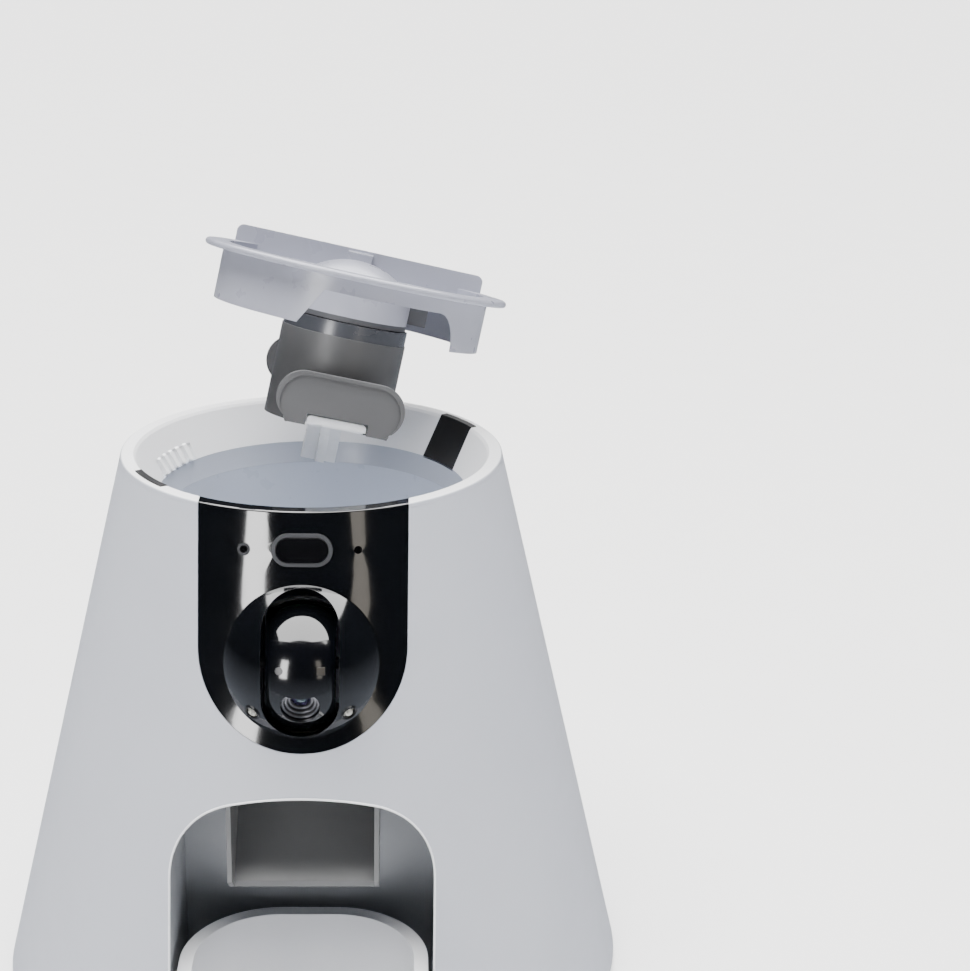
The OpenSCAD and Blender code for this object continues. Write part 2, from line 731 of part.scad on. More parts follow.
module camera_dome() {
    color([0.02, 0.02, 0.025]) difference() {
        on_panel() difference() {
            union() {
                intersection() {
                    translate([0, 0, sphere_w]) sphere(sphere_r);
                    rod(dome_r, flange_w - camera_flange_t, dome_rise + 1);
                }
                rod(camera_flange_r, flange_w - camera_flange_t, flange_w);
            }
            intersection() {
                translate([0, 0, sphere_w]) sphere(sphere_r - dome_wall);
                rod(dome_r - dome_wall, -panel_t, dome_rise);
            }
            rod(dome_r - dome_wall, flange_w - 10, -panel_t + 1);
            intersection() {
                slot_prism(0);
                rod(yoke_in_r, -30, 30);
            }
            translate([-slot_w / 2, -yoke_in_r, flange_w - 4]) cube([slot_w, 2 * yoke_in_r, -flange_w + 3.5 - panel_t]);
            for (a = [45 : 90 : 315]) rotate([0, 0, a]) translate([camera_pcr, 0, 0])
                rod(screw_r, flange_w - 5, 0);
        }
        for (side = [-1, 1]) led_place(side) rod(led_r + touch_gap, -8, 4);
    }
}

module led(side) {
    color([0.85, 0.85, 0.8]) led_place(side) {
        rod(led_r, -3, -0.9);
        translate([0, 0, -0.9]) intersection() {
            sphere(led_r * 0.8);
            rod(led_r, -0.2, led_r);
        }
    }
}

module led_left() { led(-1); }
module led_right() { led(1); }

// Frame behind the dome's flange, with the two plates that carry the tilting head
module camera_yoke() {
    arm_y = [-18, -tilt_drop + 8.5];
    color([0.15, 0.15, 0.16]) difference() {
        on_panel() union() {
            tube(camera_flange_r, yoke_in_r, yoke_w - yoke_t, yoke_w);
            for (s = [-1, 1]) {
                for (v = arm_y) intersection() {
                    translate([s > 0 ? yoke_x : -camera_flange_r + 1, v, yoke_w - yoke_t])
                        cube([camera_flange_r - yoke_x - 1, 7, yoke_t]);
                    rod(camera_flange_r, yoke_w - yoke_t, yoke_w);
                }
                translate([s > 0 ? yoke_x : -yoke_x - yoke_plate, arm_y[0], -tilt_depth - 6.5])
                    cube([yoke_plate, arm_y[1] - arm_y[0] + 7, yoke_w + tilt_depth + 6.5]);
            }
        }
        in_head(0) rotate([0, 90, 0]) rod(tilt_pin_r + run_gap, -yoke_x - 5, yoke_x + 5);
        on_panel() for (a = [45 : 90 : 315]) rotate([0, 0, a]) translate([camera_pcr, 0, 0])
            rod(screw_r, yoke_w - 5, 0);
    }
}

module camera_screws() {
    color([0.6, 0.6, 0.62]) on_panel() for (a = [45 : 90 : 315]) rotate([0, 0, a]) translate([camera_pcr, 0, 0]) {
        rod(screw_r + 1, yoke_w - yoke_t - 1.6, yoke_w - yoke_t);
        rod(screw_r - 0.3, yoke_w - yoke_t, flange_w + 2.5);
    }
}

module tilt_motor() {
    start = yoke_x + yoke_plate;
    color([0.7, 0.7, 0.72]) in_head(0) rotate([0, 90, 0]) difference() {
        rod(6, start, start + 5.6);
        rod(tilt_pin_r + run_gap, start - 1, start + 4);
    }
}

// The tilting head as a ball with flat sides
module head_ball(r, w) {
    intersection() {
        sphere(r);
        cube([w, 3 * r, 3 * r], center = true);
    }
}

// The part of the head that may reach its full crown radius
module head_front() {
    reach = 2 * head_r;
    rotate([0, 90, 0]) rod(head_back_r, -head_w, head_w);
    rotate([90, 0, 90]) translate([0, 0, -head_w]) linear_extrude(2 * head_w)
        polygon([[0, 0], for (i = [0 : 4]) [-reach * cos(sector_half * (i - 2) / 2),
            reach * sin(sector_half * (i - 2) / 2)]]);
}

// Outline of the head window: a band between two arcs that both hang down in the middle
module head_window_prism(grow) {
    half = head_window_w / 2;
    r_top = (half * half + window_sag_top * window_sag_top) / (2 * window_sag_top);
    r_low = (half * half + window_sag_low * window_sag_low) / (2 * window_sag_low);
    in_head(-window_pitch) rotate([90, 0, 0]) linear_extrude(head_r + 5) difference() {
        intersection() {
            translate([0, r_low - head_window_h / 2]) circle(r_low + grow);
            translate([-half - grow, -head_window_h]) square([2 * (half + grow), 2 * head_window_h]);
        }
        translate([0, head_window_h / 2 + r_top]) circle(r_top - grow);
    }
}

module lens_hole(r, from) { in_head(lens_pitch) rotate([90, 0, 0]) rod(r, from, head_r + 5); }

module head_shell() {
    color([0.03, 0.03, 0.035]) difference() {
        in_head(0) intersection() {
            head_ball(head_r, head_w);
            head_front();
        }
        in_head(0) rotate([0, 90, 0]) rod(head_back_r - 2.5, -head_w / 2 + 2, head_w / 2 - 2);
        in_head(0) translate([-head_w / 2 + 3, 0, -6]) cube([head_w - 6, head_r, 12]);
        difference() {
            head_window_prism(touch_gap / 2);
            in_head(0) sphere(head_r - 1.2);
        }
        lens_hole(lens_r + touch_gap / 2, head_back_r - 5);
        light_sensor_block(0.05);
        status_light_rod(0.05);
        in_head(0) rotate([0, 90, 0]) rod(tilt_pin_r, -head_w, head_w);
    }
}

module head_window() {
    color([0.01, 0.01, 0.015]) difference() {
        intersection() {
            in_head(0) head_ball(head_r + 0.25, head_w - 0.6);
            head_window_prism(0);
        }
        in_head(0) sphere(head_r - 1.1);
        light_sensor_block(0.05);
        status_light_rod(0.05);
    }
}

module light_sensor_block(grow) {
    size = 2.7 + 2 * grow;
    in_head(-sensor_pitch) rotate([90, 0, 0]) translate([sensor_x - size / 2, -size / 2, head_r - 4.4 - grow])
        cube([size, size, 5]);
}

module light_sensor() {
    color([0.5, 0.47, 0.4]) intersection() {
        light_sensor_block(0);
        in_head(0) sphere(head_r + 0.3);
    }
}

module status_light_rod(grow) {
    in_head(-sensor_pitch) rotate([90, 0, 0]) translate([-sensor_x, 0, 0])
        rod(1.3 + grow, head_r - 4.4 - grow, head_r + 1);
}

module status_light() {
    color([0.85, 0.85, 0.85]) intersection() {
        status_light_rod(0);
        in_head(0) sphere(head_r + 0.3);
    }
}

module lens_barrel() {
    front = head_r - 2.7;
    color([0.05, 0.05, 0.055]) in_head(lens_pitch) rotate([90, 0, 0]) difference() {
        rod(lens_r, head_back_r - 4, front);
        for (step = [0 : 2]) rod(lens_r - 1 - step * 1.1, front - 1.1 * (step + 1), front + 1);
    }
}

module lens_glass() {
    seat = head_r - 2.7 - 3.3;
    color([0.1, 0.12, 0.2]) in_head(lens_pitch) rotate([90, 0, 0]) intersection() {
        rod(lens_r - 3.4, seat, seat + 1.8);
        translate([0, 0, seat + 1.7 - 5]) sphere(5);
    }
}

module tilt_pin() {
    color([0.75, 0.75, 0.77]) in_head(0) rotate([0, 90, 0]) {
        rod(tilt_pin_r, -yoke_x - yoke_plate - 0.5, -head_w / 2 + 1.5);
        rod(tilt_pin_r, head_w / 2 - 1.5, yoke_x + yoke_plate + 3.5);
    }
}

module image_board() {
    color([0.05, 0.2, 0.3]) in_head(lens_pitch) translate([-lens_r, -head_back_r + 4 + 0.02, -lens_r])
        cube([2 * lens_r, board_t, 2 * lens_r]);
}

// The ring under the rim, which narrows towards the chamber and carries the insert
module seat_ring() {
    out_r = throat_r + rim_wall + 2;
    color([0.7, 0.72, 0.77]) difference() {
        rotate_extrude() polygon([[throat_r, throat_z], [out_r, throat_z], [out_r, chamber_top],
            [chamber_r, chamber_top], [flange_r + 1.5 * touch_gap, ledge_z]]);
        for (side = [0, 180]) sensor_window(window_angle + side, window_gap);
    }
}

// The chamber's wall: a cylinder with a flat front behind the camera
module chamber() {
    out_r = chamber_r + chamber_wall;
    color([0.7, 0.72, 0.77]) {
        union() {
            difference() {
                tube(out_r, chamber_r, floor_under, chamber_top);
                translate([-out_r, -out_r - 1, floor_under - 1])
                    cube([2 * out_r, out_r + 1 - chamber_flat, flat_top_z - floor_under + 1]);
            }
            intersection() {
                rod(out_r, floor_under, flat_top_z + chamber_wall);
                union() {
                    translate([-out_r, -chamber_flat - chamber_wall, floor_under])
                        cube([2 * out_r, chamber_wall, flat_top_z - floor_under + chamber_wall]);
                    translate([-out_r, -out_r, flat_top_z])
                        cube([2 * out_r, out_r - chamber_flat, chamber_wall]);
                }
            }
        }
    }
}

// The chamber's floor with the axle's hole and the outlet
module chamber_floor() {
    color([0.7, 0.72, 0.77]) difference() {
        tube(chamber_r - fine, axle_hole_r, floor_under, floor_z);
        translate([-2 * chamber_r, -3 * chamber_r - chamber_flat + fine, floor_under - 1])
            cube([4 * chamber_r, 3 * chamber_r, chamber_wall + 2]);
        intersection() {
            tube(outlet_out_r, outlet_in_r, floor_under - 1, floor_z + 1);
            outlet_wedge(floor_under - 2, floor_z + 2);
        }
    }
}

module outlet_wedge(z0, z1) {
    reach = 2 * outlet_out_r;
    translate([0, 0, z0]) linear_extrude(z1 - z0) polygon([[0, 0],
        [-reach * sin(outlet_half_angle), -reach * cos(outlet_half_angle)],
        [reach * sin(outlet_half_angle), -reach * cos(outlet_half_angle)]]);
}

// Pushes a (y, z) outline sideways from one x to another
module from_side(x0, x1) { translate([x0, 0, 0]) rotate([90, 0, 90]) linear_extrude(x1 - x0) children(); }

module chute() {
    in_x = chute_half_w - chute_wall / 2;
    out_x = chute_half_w + chute_wall / 2;
    top = floor_under;
    slope_t = chute_wall * 1.4;
    color([0.42, 0.43, 0.45]) {
        for (s = [-1, 1]) from_side(s > 0 ? in_x : -out_x, s > 0 ? out_x : -in_x)
            polygon([[chute_back_y, top], [chute_back_y, top - slope_t], [-chute_end_y, chute_end_z - slope_t],
                [chute_front_y, chute_end_z + 4], [chute_front_y, chute_front_z], [chute_roof_y, top]]);
        from_side(-in_x, in_x) polygon([[chute_back_y, top], [chute_back_y, top - slope_t],
            [-chute_end_y, chute_end_z - slope_t], [-chute_end_y, chute_end_z],
            [chute_back_y - 0.6, top]]);
        from_side(-in_x, in_x) polygon([[chute_roof_y, top], [chute_roof_y + chute_wall, top],
            [chute_front_y + chute_wall, chute_front_z - chute_wall], [chute_front_y, chute_front_z - chute_wall],
            [chute_front_y, chute_front_z]]);
    }
}

module alcove_liner() {
    side = chute_half_w + chute_wall / 2 + 0.3;
    slide_z = floor_under - (floor_under - chute_end_z) * (alcove_back + chute_back_y)
        / (chute_end_y + chute_back_y) - 4 * chute_wall;
    color([0.66, 0.68, 0.72]) intersection() {
        body_cone(base_top, shell_top, -shell_wall - touch_gap);
        difference() {
            arch_prism(alcove_wall + 0.2, body_r(0), alcove_back);
            translate([0, 0, -fine]) arch_prism(0.2, body_r(0) + 1, alcove_back + alcove_wall);
            translate([-side, -body_r(0), slide_z]) cube([2 * side, body_r(0) - alcove_back + 1, body_h]);
        }
    }
}

// Outline of the gearbox round its three axes and its screw lugs
module gearbox_outline(grow) {
    big = gear_module * (output_teeth / 2 + 1) + 0.8 + grow;
    mid = gear_module * (idler_large_teeth / 2 + 1) + 0.8 + grow;
    small = gear_module * (pinion_teeth / 2 + 1) + 2 + grow;
    hull() {
        circle(big, $fn = 48);
        translate([0, idler_y]) circle(mid, $fn = 48);
        translate([motor_x, motor_y]) circle(small, $fn = 24);
    }
}

module lug_outline() {
    for (p = lugs) translate(p) rotate(atan2(p[1] - (p[1] > 0 ? idler_y : 0), p[0]))
        translate([-2.4 * lug_r, -lug_r]) square([3.4 * lug_r, 2 * lug_r]);
}

module lug_holes(z0, z1) { for (p = lugs) translate([p[0], p[1], 0]) rod(screw_r + run_gap, z0, z1); }

module gearbox_housing() {
    color([0.85, 0.84, 0.8]) difference() {
        translate([0, 0, box_low]) linear_extrude(box_high - box_low) {
            gearbox_outline(box_wall);
            lug_outline();
        }
        translate([0, 0, box_low + box_wall]) linear_extrude(box_high) gearbox_outline(0);
        rod(stub_r + run_gap, box_low - 1, box_low + box_wall + 1);
        translate([0, idler_y, 0]) rod(pin_r, box_low - 1, box_low + box_wall + 1);
        translate([motor_x, motor_y, 0]) rod(shaft_r + 2, box_low - 1, box_low + box_wall + 1);
        lug_holes(box_low - 1, box_high + 1);
    }
}

module gearbox_cover() {
    color([0.85, 0.84, 0.8]) difference() {
        union() {
            translate([0, 0, box_high]) linear_extrude(cover_t) {
                gearbox_outline(box_wall);
                lug_outline();
            }
            for (p = [[-15, 9], [15, 9], [0, idler_y + 13]]) translate([p[0], p[1], 0])
                rod(4, cover_top - 1, floor_under);
        }
        rod(bush_r, box_high - 1, cover_top + 1);
        translate([0, idler_y, 0]) rod(pin_r, box_high - 1, cover_top + 1);
        lug_holes(box_high - 1, cover_top + 1);
    }
}

module gearbox_screws() {
    color([0.6, 0.6, 0.62]) for (p = lugs) translate([p[0], p[1], 0]) {
        rod(screw_r, box_low, cover_top - 0.5);
        rod(screw_r + 1.4, box_low - 1.8, box_low);
    }
}

module output_bush() { color([0.75, 0.6, 0.35]) tube(bush_r - fine, journal_r + run_gap, box_high, cover_top); }

module idler_pin() {
    color([0.75, 0.75, 0.77]) translate([0, idler_y, 0]) rod(pin_r - fine, box_low, cover_top);
}

module drive_motor() {
    color([0.7, 0.7, 0.72]) translate([motor_x, motor_y, 0]) difference() {
        union() {
            rod(motor_r, box_low - motor_len, box_low - 2);
            rod(motor_r * 0.6, box_low - 2, box_low);
        }
        rod(shaft_r + run_gap, box_low - 12, box_low + 1);
    }
}

module post_cross(grow) {
    arm = post_arm + 2 * grow;
    intersection() {
        circle(post_r + grow);
        union() {
            square([3 * post_r, arm], center = true);
            square([arm, 3 * post_r], center = true);
        }
    }
}

module output_gear() {
    color([0.9, 0.9, 0.85]) difference() {
        union() {
            translate([0, 0, output_z]) linear_extrude(gear_w) gear_outline(output_teeth, gear_module);
            rod(journal_r, output_z + gear_w - 1, socket_top);
            rod(stub_r + 2, output_z - 1, output_z + 1);
            rod(stub_r, box_low + 0.3, output_z);
        }
        translate([0, 0, socket_floor]) linear_extrude(socket_depth + 1)
            rotate(rotor_turn) post_cross(socket_gap);
    }
}

module idler_gear() {
    color([0.9, 0.9, 0.85]) translate([0, idler_y, 0]) difference() {
        union() {
            translate([0, 0, output_z - 0.6]) linear_extrude(gear_w + 1) rotate(small_gear_turn)
                gear_outline(idler_small_teeth, gear_module);
            translate([0, 0, idler_z]) linear_extrude(gear_w) gear_outline(idler_large_teeth, gear_module);
            rod(gear_module * idler_small_teeth / 2 - 1.2, idler_z - 0.8, output_z + gear_w + 1.2);
        }
        rod(pin_r + run_gap, idler_z - 2, output_z + gear_w + 3);
    }
}

module motor_pinion() {
    color([0.75, 0.6, 0.35]) translate([motor_x, motor_y, 0]) {
        translate([0, 0, idler_z - 0.4]) linear_extrude(gear_w + 0.8) rotate(pinion_turn)
            gear_outline(pinion_teeth, gear_module);
        rod(shaft_r, box_low - 11, idler_z);
    }
}

module main_board() {
    z = base_top + main_board_up;
    color([0.05, 0.25, 0.12]) translate([0, main_board_y, z]) {
        linear_extrude(board_t) round_box(main_board_w, main_board_d, 3);
        translate([-18, 4, board_t]) linear_extrude(1.2) square([16, 16], center = true);
        translate([12, 8, board_t]) linear_extrude(2.4) square([22, 15], center = true);
        translate([24, -14, board_t]) rod(4, 0, 10);
        translate([-24, -16, board_t]) linear_extrude(6) square([14, 7], center = true);
    }
}

module speaker() {
    color([0.1, 0.1, 0.1]) on_rear(speaker_z) {
        rod(speaker_r + 2.6, -14, -12);
        rod(speaker_r * 0.55, -20, -14);
        tube(speaker_r, speaker_r - 3, -12, -10.5);
    }
}

module dc_jack() {
    in_y = body_r(jack_z) - shell_wall;
    color([0.06, 0.06, 0.07]) difference() {
        union() {
            intersection() {
                translate([-6, in_y - 14, base_top]) cube([12, 16, jack_z + 6 - base_top]);
                body_cone(base_top, jack_z + 6, -shell_wall - touch_gap);
            }
            on_rear(jack_z) rod(jack_r, -6, -0.4);
        }
        on_rear(jack_z) tube(3.1, 1.05, -10, 2);
    }
}

module base_plate() {
    r = body_r(shell_foot) - shell_wall - body_slope * base_t - 0.3;
    tongue_w = 2 * arch_half_w - 0.8;
    color([0.88, 0.88, 0.9]) difference() {
        union() {
            rod(r, shell_foot, base_top);
            translate([0, -tongue_front / 2, shell_foot]) linear_extrude(base_t)
                round_box(tongue_w, tongue_front, bowl_corner_r + 1);
            for (sx = [-1, 1], sy = [-1, 1]) translate([sx * (main_board_w / 2 - 5),
                main_board_y + sy * (main_board_d / 2 - 5), 0]) rod(3, base_top - 1, base_top + main_board_up);
        }
        for (a = base_screw_angles) rotate([0, 0, a]) translate([base_boss_at, 0, 0]) {
            rod(screw_r + run_gap, shell_foot - 1, base_top + 1);
            rod(screw_r + 1.6, shell_foot - 1, shell_foot + 1.6);
        }
    }
}

module base_screws() {
    color([0.6, 0.6, 0.62]) for (a = base_screw_angles) rotate([0, 0, a]) translate([base_boss_at, 0, 0]) {
        rod(screw_r + 1.4, shell_foot, shell_foot + 1.6);
        rod(screw_r, shell_foot + 1.6, base_top + 12);
    }
}

module feet() {
    ring_r = body_r(0) - 22;
    color([0.25, 0.25, 0.26]) {
        rod(foot_r, 0, shell_foot);
        for (a = [45 : 90 : 315]) rotate([0, 0, a]) translate([ring_r, 0, 0]) rod(foot_r, 0, shell_foot);
        for (s = [-1, 1]) translate([s * (arch_half_w - foot_r - 6), -tongue_front + 28, 0])
            rod(foot_r, 0, shell_foot);
    }
}

module bowl() {
    centre_y = bowl_front + bowl_len / 2;
    color([0.9, 0.9, 0.92]) translate([0, centre_y, bowl_z]) difference() {
        union() {
            linear_extrude(bowl_h) round_box(bowl_w - 6, bowl_len - 6, bowl_corner_r - 3);
            translate([0, 0, bowl_h - 2.4]) linear_extrude(2.4) round_box(bowl_w, bowl_len, bowl_corner_r);
        }
        translate([0, 0, bowl_wall]) linear_extrude(bowl_h)
            round_box(bowl_w - 6 - 2 * bowl_wall, bowl_len - 6 - 2 * bowl_wall, bowl_corner_r - 3 - bowl_wall);
    }
}

// The skirt's front opening, seen from the front: slanted on the left, wider towards its foot
module skirt_opening() {
    top = -skirt_lip;
    low = -skirt_h - 1;
    left_top = -skirt_r * sin(11);
    left_low = -skirt_r * sin(20.5);
    right_top = skirt_r * sin(40);
    right_low = skirt_r * sin(50);
    curve = [for (i = [0 : 6]) [right_low - (right_low - right_top) * (1 - cos(15 * i)), low + (top - low) * sin(15 * i)]];
    rotate([90, 0, 0]) linear_extrude(skirt_r + 5)
        polygon(concat([[left_top, top], [left_low, low]], curve));
}

module insert_cover() {
    in_r = skirt_r - skirt_wall;
    dome_base = -5;
    plate_z = -flange_t;
    dome_h = hub_dome_rise + flange_t - dome_base;
    cap_r = (collar_r * collar_r + dome_h * dome_h) / (2 * dome_h);
    color([0.9, 0.9, 0.94]) lifted() {
        difference() {
            union() {
                rotate_extrude() {
                    translate([in_r, 0]) square([flange_r - in_r - flange_t / 2, flange_t]);
                    translate([flange_r - flange_t / 2, flange_t / 2]) circle(flange_t / 2);
                }
                difference() {
                    tube(skirt_r, in_r, -skirt_h, fine);
                    skirt_opening();
                }
                intersection() {
                    rod(skirt_r, plate_z, flange_t);
                    union() {
                        translate([-skirt_r, hub_r * 0.45, plate_z]) cube([2 * skirt_r, skirt_r, flange_t]);
                        translate([-skirt_r, wall_back, plate_z]) cube([2 * skirt_r, 2, flange_t - plate_z]);
                    }
                }
                translate([0, wall_back + 2, flange_t - 0.5]) rotate([90, 0, 0]) linear_extrude(2)
                    translate([0, (wall_rise + 0.5) / 2]) round_top(2 * wall_half, wall_rise + 0.5, 2.6);
                translate([-4.7, hub_r * 0.35, plate_z]) cube([9.4, wall_back - hub_r * 0.35 + 1, wall_rise + flange_t - 1 - plate_z]);
                rod(collar_r, collar_z, dome_base);
                intersection() {
                    translate([0, 0, dome_base + dome_h - cap_r]) sphere(cap_r);
                    rod(collar_r, dome_base - fine, dome_base + dome_h + 1);
                }
            }
            difference() {
                rod(collar_r - 2, collar_z - 1, dome_base);
                rod(axle_r + 4, collar_z - 2, dome_base + 1);
            }
            rod(axle_r, collar_z - 1, dome_base + 1);
        }
    }
}

// A plate outline whose two upper corners are rounded
module round_top(w, h, r) {
    square([w - 2 * r, h], center = true);
    translate([0, -r / 2]) square([w, h - r], center = true);
    for (s = [-1, 1]) translate([s * (w / 2 - r), h / 2 - r]) circle(r);
}

module hub_seal() { color([0.24, 0.25, 0.29]) lifted() tube(collar_r, collar_r - 4, seal_z, collar_z); }

module wiper() {
    color([0.27, 0.28, 0.33]) lifted() translate([hub_r - 2.6, hub_r * 0.45 + 1, -14.2]) cube([8.6, 3, 14.2 - flange_t]);
}

module rotor_axle() { color([0.75, 0.75, 0.77]) lifted() rod(axle_r - fine, bar_low + 1.7, -5); }

module hub_ring() {
    color([0.4, 0.42, 0.48]) rotor() tube(hub_r - 0.3, hub_r - 5, rotor_top, slate_top);
}

module rotor_hub() {
    color([0.52, 0.52, 0.53]) rotor() difference() {
        rod(hub_r, rotor_low, rotor_top);
        difference() {
            rod(hub_r - 2.2, rotor_low - 1, rotor_top - 2.4);
            rod(axle_r + 3, bar_top, rotor_top);
        }
        rod(axle_r + run_gap, rotor_low - 2, rotor_top + 1);
        translate([0, 0, rotor_low]) cube([bar_w + 0.2, 4 * hub_r, 2 * (bar_top - rotor_low)], center = true);
    }
}

// A tangential paddle with a raised lip and a notch over the foot bar
module paddle() {
    low = rotor_low + 1;
    lip = 1.3;
    difference() {
        union() {
            translate([0, -paddle_rho, low]) rotate([90, 0, 0]) linear_extrude(paddle_t)
                translate([0, paddle_h / 2]) paddle_outline(paddle_w, paddle_h);
            translate([0, -paddle_rho - paddle_t + 0.4, low]) rotate([90, 0, 0]) linear_extrude(1.2) difference() {
                translate([0, paddle_h / 2]) paddle_outline(paddle_w, paddle_h);
                translate([0, paddle_h / 2 - lip / 2 - 0.5]) paddle_outline(paddle_w - 2 * lip, paddle_h - lip + 1);
            }
            translate([-hub_r * 0.6, -paddle_rho - 0.5, bar_top + 0.4])
                cube([hub_r * 1.2, paddle_rho - hub_r * 0.72, low + paddle_h - 4.6 - bar_top - 0.4]);
        }
        rod(hub_r + fine, low - 1, rotor_top);
        translate([-bar_w / 2 - 0.4, -paddle_rho - 8, low - 1]) cube([bar_w + 0.8, 12, bar_top - low + 1.4]);
    }
}

module paddle_outline(w, h) {
    r = paddle_corner_r;
    foot = w * 0.4;
    inset = r * 0.12;
    translate([0, h / 2 - r]) square([w - 2 * r, 2 * r], center = true);
    for (s = [-1, 1]) translate([s * (w / 2 - r), h / 2 - r]) circle(r);
    polygon([[-w / 2 + inset, h / 2 - r], [w / 2 - inset, h / 2 - r], [foot, -h / 2], [-foot, -h / 2]]);
}

module paddle_front() { color([0.56, 0.56, 0.56]) rotor() paddle(); }
module paddle_back() { color([0.56, 0.56, 0.56]) rotor() translate([0, 0, paddle_stagger]) rotate([0, 0, 180]) paddle(); }

module drive_core() {
    color([0.88, 0.9, 0.94]) rotor() {
        difference() {
            union() {
                translate([0, bar_half, bar_low + bar_h / 2]) rotate([90, 0, 0]) linear_extrude(2 * bar_half)
                    round_top(bar_w, bar_h, 1.6);
                translate([0, 0, post_low]) linear_extrude(post_len + 1) post_cross(0);
            }
            rod(axle_r + 2.6, bar_low + 1.5, bar_top + 1);
            for (y = [hub_r + 1, -hub_r - 1 - bar_half]) translate([-bar_w, y, bar_low - 1])
                cube([2 * bar_w, bar_half, 2.2]);
        }
    }
}

module axle_clip() {
    color([0.7, 0.7, 0.72]) rotor() tube(axle_r + 2.2, axle_r + run_gap, bar_top - 2.2, bar_top - 0.6);
}

outer_shell();
rim_ring();
sensor_window_right();
sensor_window_left();
front_panel();
button_ring();
feed_button();
set_ring();
set_button();
microphone();
camera_dome();
led_left();
led_right();
camera_yoke();
camera_screws();
tilt_motor();
head_shell();
head_window();
light_sensor();
status_light();
lens_barrel();
lens_glass();
tilt_pin();
image_board();
panel_board();
switches();
ir_emitter();
ir_receiver();
seat_ring();
chamber();
chamber_floor();
chute();
alcove_liner();
gearbox_housing();
gearbox_cover();
gearbox_screws();
output_bush();
idler_pin();
drive_motor();
output_gear();
idler_gear();
motor_pinion();
main_board();
speaker();
dc_jack();
base_plate();
base_screws();
feet();
bowl();
insert_cover();
hub_seal();
wiper();
rotor_axle();
hub_ring();
rotor_hub();
paddle_front();
paddle_back();
drive_core();
axle_clip();
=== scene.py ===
# %% [markdown]
# # An automatic pet feeder with a camera
# The feeder is a white cone that stands on the floor. A black panel on its front holds a feed button
# and a tilting camera, and its open rim shows a grey food chamber. The dispensing insert, with its
# paddle rotor, hangs above the rim as it is lifted out. The solids come from CAD. This lesson gives
# them their finishes and their fine detail, and sets up a small studio.

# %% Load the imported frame
import math

import bpy
from mathutils import Matrix, Vector


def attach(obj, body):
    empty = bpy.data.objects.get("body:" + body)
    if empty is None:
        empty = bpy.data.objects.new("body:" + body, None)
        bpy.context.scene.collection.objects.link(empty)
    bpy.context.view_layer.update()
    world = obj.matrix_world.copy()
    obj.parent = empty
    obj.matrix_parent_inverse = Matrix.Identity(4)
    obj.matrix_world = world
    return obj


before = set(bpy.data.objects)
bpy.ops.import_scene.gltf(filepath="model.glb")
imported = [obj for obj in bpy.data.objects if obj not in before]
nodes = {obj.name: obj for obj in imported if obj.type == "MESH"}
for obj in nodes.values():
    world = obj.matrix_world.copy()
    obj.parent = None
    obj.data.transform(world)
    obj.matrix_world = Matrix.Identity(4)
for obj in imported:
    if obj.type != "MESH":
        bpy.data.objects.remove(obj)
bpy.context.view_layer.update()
MM = 0.001
print("nodes loaded:", len(nodes))

# %% [markdown]
# ## The camera
# The camera stands in front of the feeder, a little to its right and above it, and it is rolled by
# about a degree. Its place, its aim and its lens were measured from the rim, the body's sides and the
# panel. A matrix made of the three camera axes sets all of that at once.

# %% Camera
camera_place = Vector((36.02, -665.14, 425.15)) * MM
camera_forward = Vector((0.03986, 0.94467, -0.32558)).normalized()
camera_roll = math.radians(1.3)
level_right = camera_forward.cross(Vector((0, 0, 1))).normalized()
level_up = level_right.cross(camera_forward)
camera_right = level_right * math.cos(camera_roll) + level_up * math.sin(camera_roll)
camera_up = camera_right.cross(camera_forward)
bpy.ops.object.camera_add(location=camera_place)
camera = bpy.context.object
camera.name = "studio_camera"
camera.data.sensor_width = 36
camera.data.lens = 69.816
camera.data.clip_start = 0.01
camera_axes = Matrix((camera_right, camera_up, -camera_forward)).transposed()
camera.matrix_world = Matrix.Translation(camera_place) @ camera_axes.to_4x4()
bpy.context.scene.camera = camera
print("camera at", tuple(round(v, 3) for v in camera_place))

# %% [markdown]
# ## The studio
# A product studio has a pale sweep to stand on and a very broad soft light overhead, so that the floor
# glows evenly and lights the object from below as well. A round wall, far off, closes the studio for
# low views. It is only seen, and lights and mirrors nothing. Sizes here are in metres.

# %% Floor and wall
FLOOR_WIDTH = 30
WALL_RADIUS = 14
WALL_HEIGHT = 16
bpy.ops.mesh.primitive_plane_add(size=FLOOR_WIDTH, location=(0, 0, 0))
floor = bpy.context.object
floor.name = "studio_floor"
floor.visible_glossy = False
bpy.ops.mesh.primitive_cylinder_add(
    vertices=96,
    radius=WALL_RADIUS,
    depth=WALL_HEIGHT,
    end_fill_type="NOTHING",
    location=(0, 0, WALL_HEIGHT / 2),
)
wall = bpy.context.object
wall.name = "studio_wall"
wall.visible_glossy = False
wall.visible_diffuse = False
wall.visible_shadow = False
print("floor and wall made")

# %% [markdown]
# ## The lights
# The broad light is a sun lamp with a wide angle: it is the same all over the floor, and its shadows
# are soft. Its disc is kept out of mirrors. What the gloss mirrors instead is one wide soft box
# overhead and two tall ones in front, which show as the upright strips on the panel. These three only
# show in mirrors, so they can be bright without washing out the matte white.

# %% Lights
STRIP_DISTANCE = 1.5
STRIP_LIFT = 0.42
STRIP_HEIGHT = 0.76
STRIP_TARGET = (0, 0, 0.2)


def pointed_along(direction):
    return direction.to_track_quat("-Z", "Y").to_euler()


def soft_box(name, place, target, width, height, watts):
    bpy.ops.object.light_add(type="AREA", location=place)
    light = bpy.context.object
    light.name = name
    light.data.shape = "RECTANGLE"
    light.data.size = width
    light.data.size_y = height
    light.data.energy = watts
    light.rotation_euler = pointed_along(Vector(target) - Vector(place))
    light.visible_diffuse = False
    return light


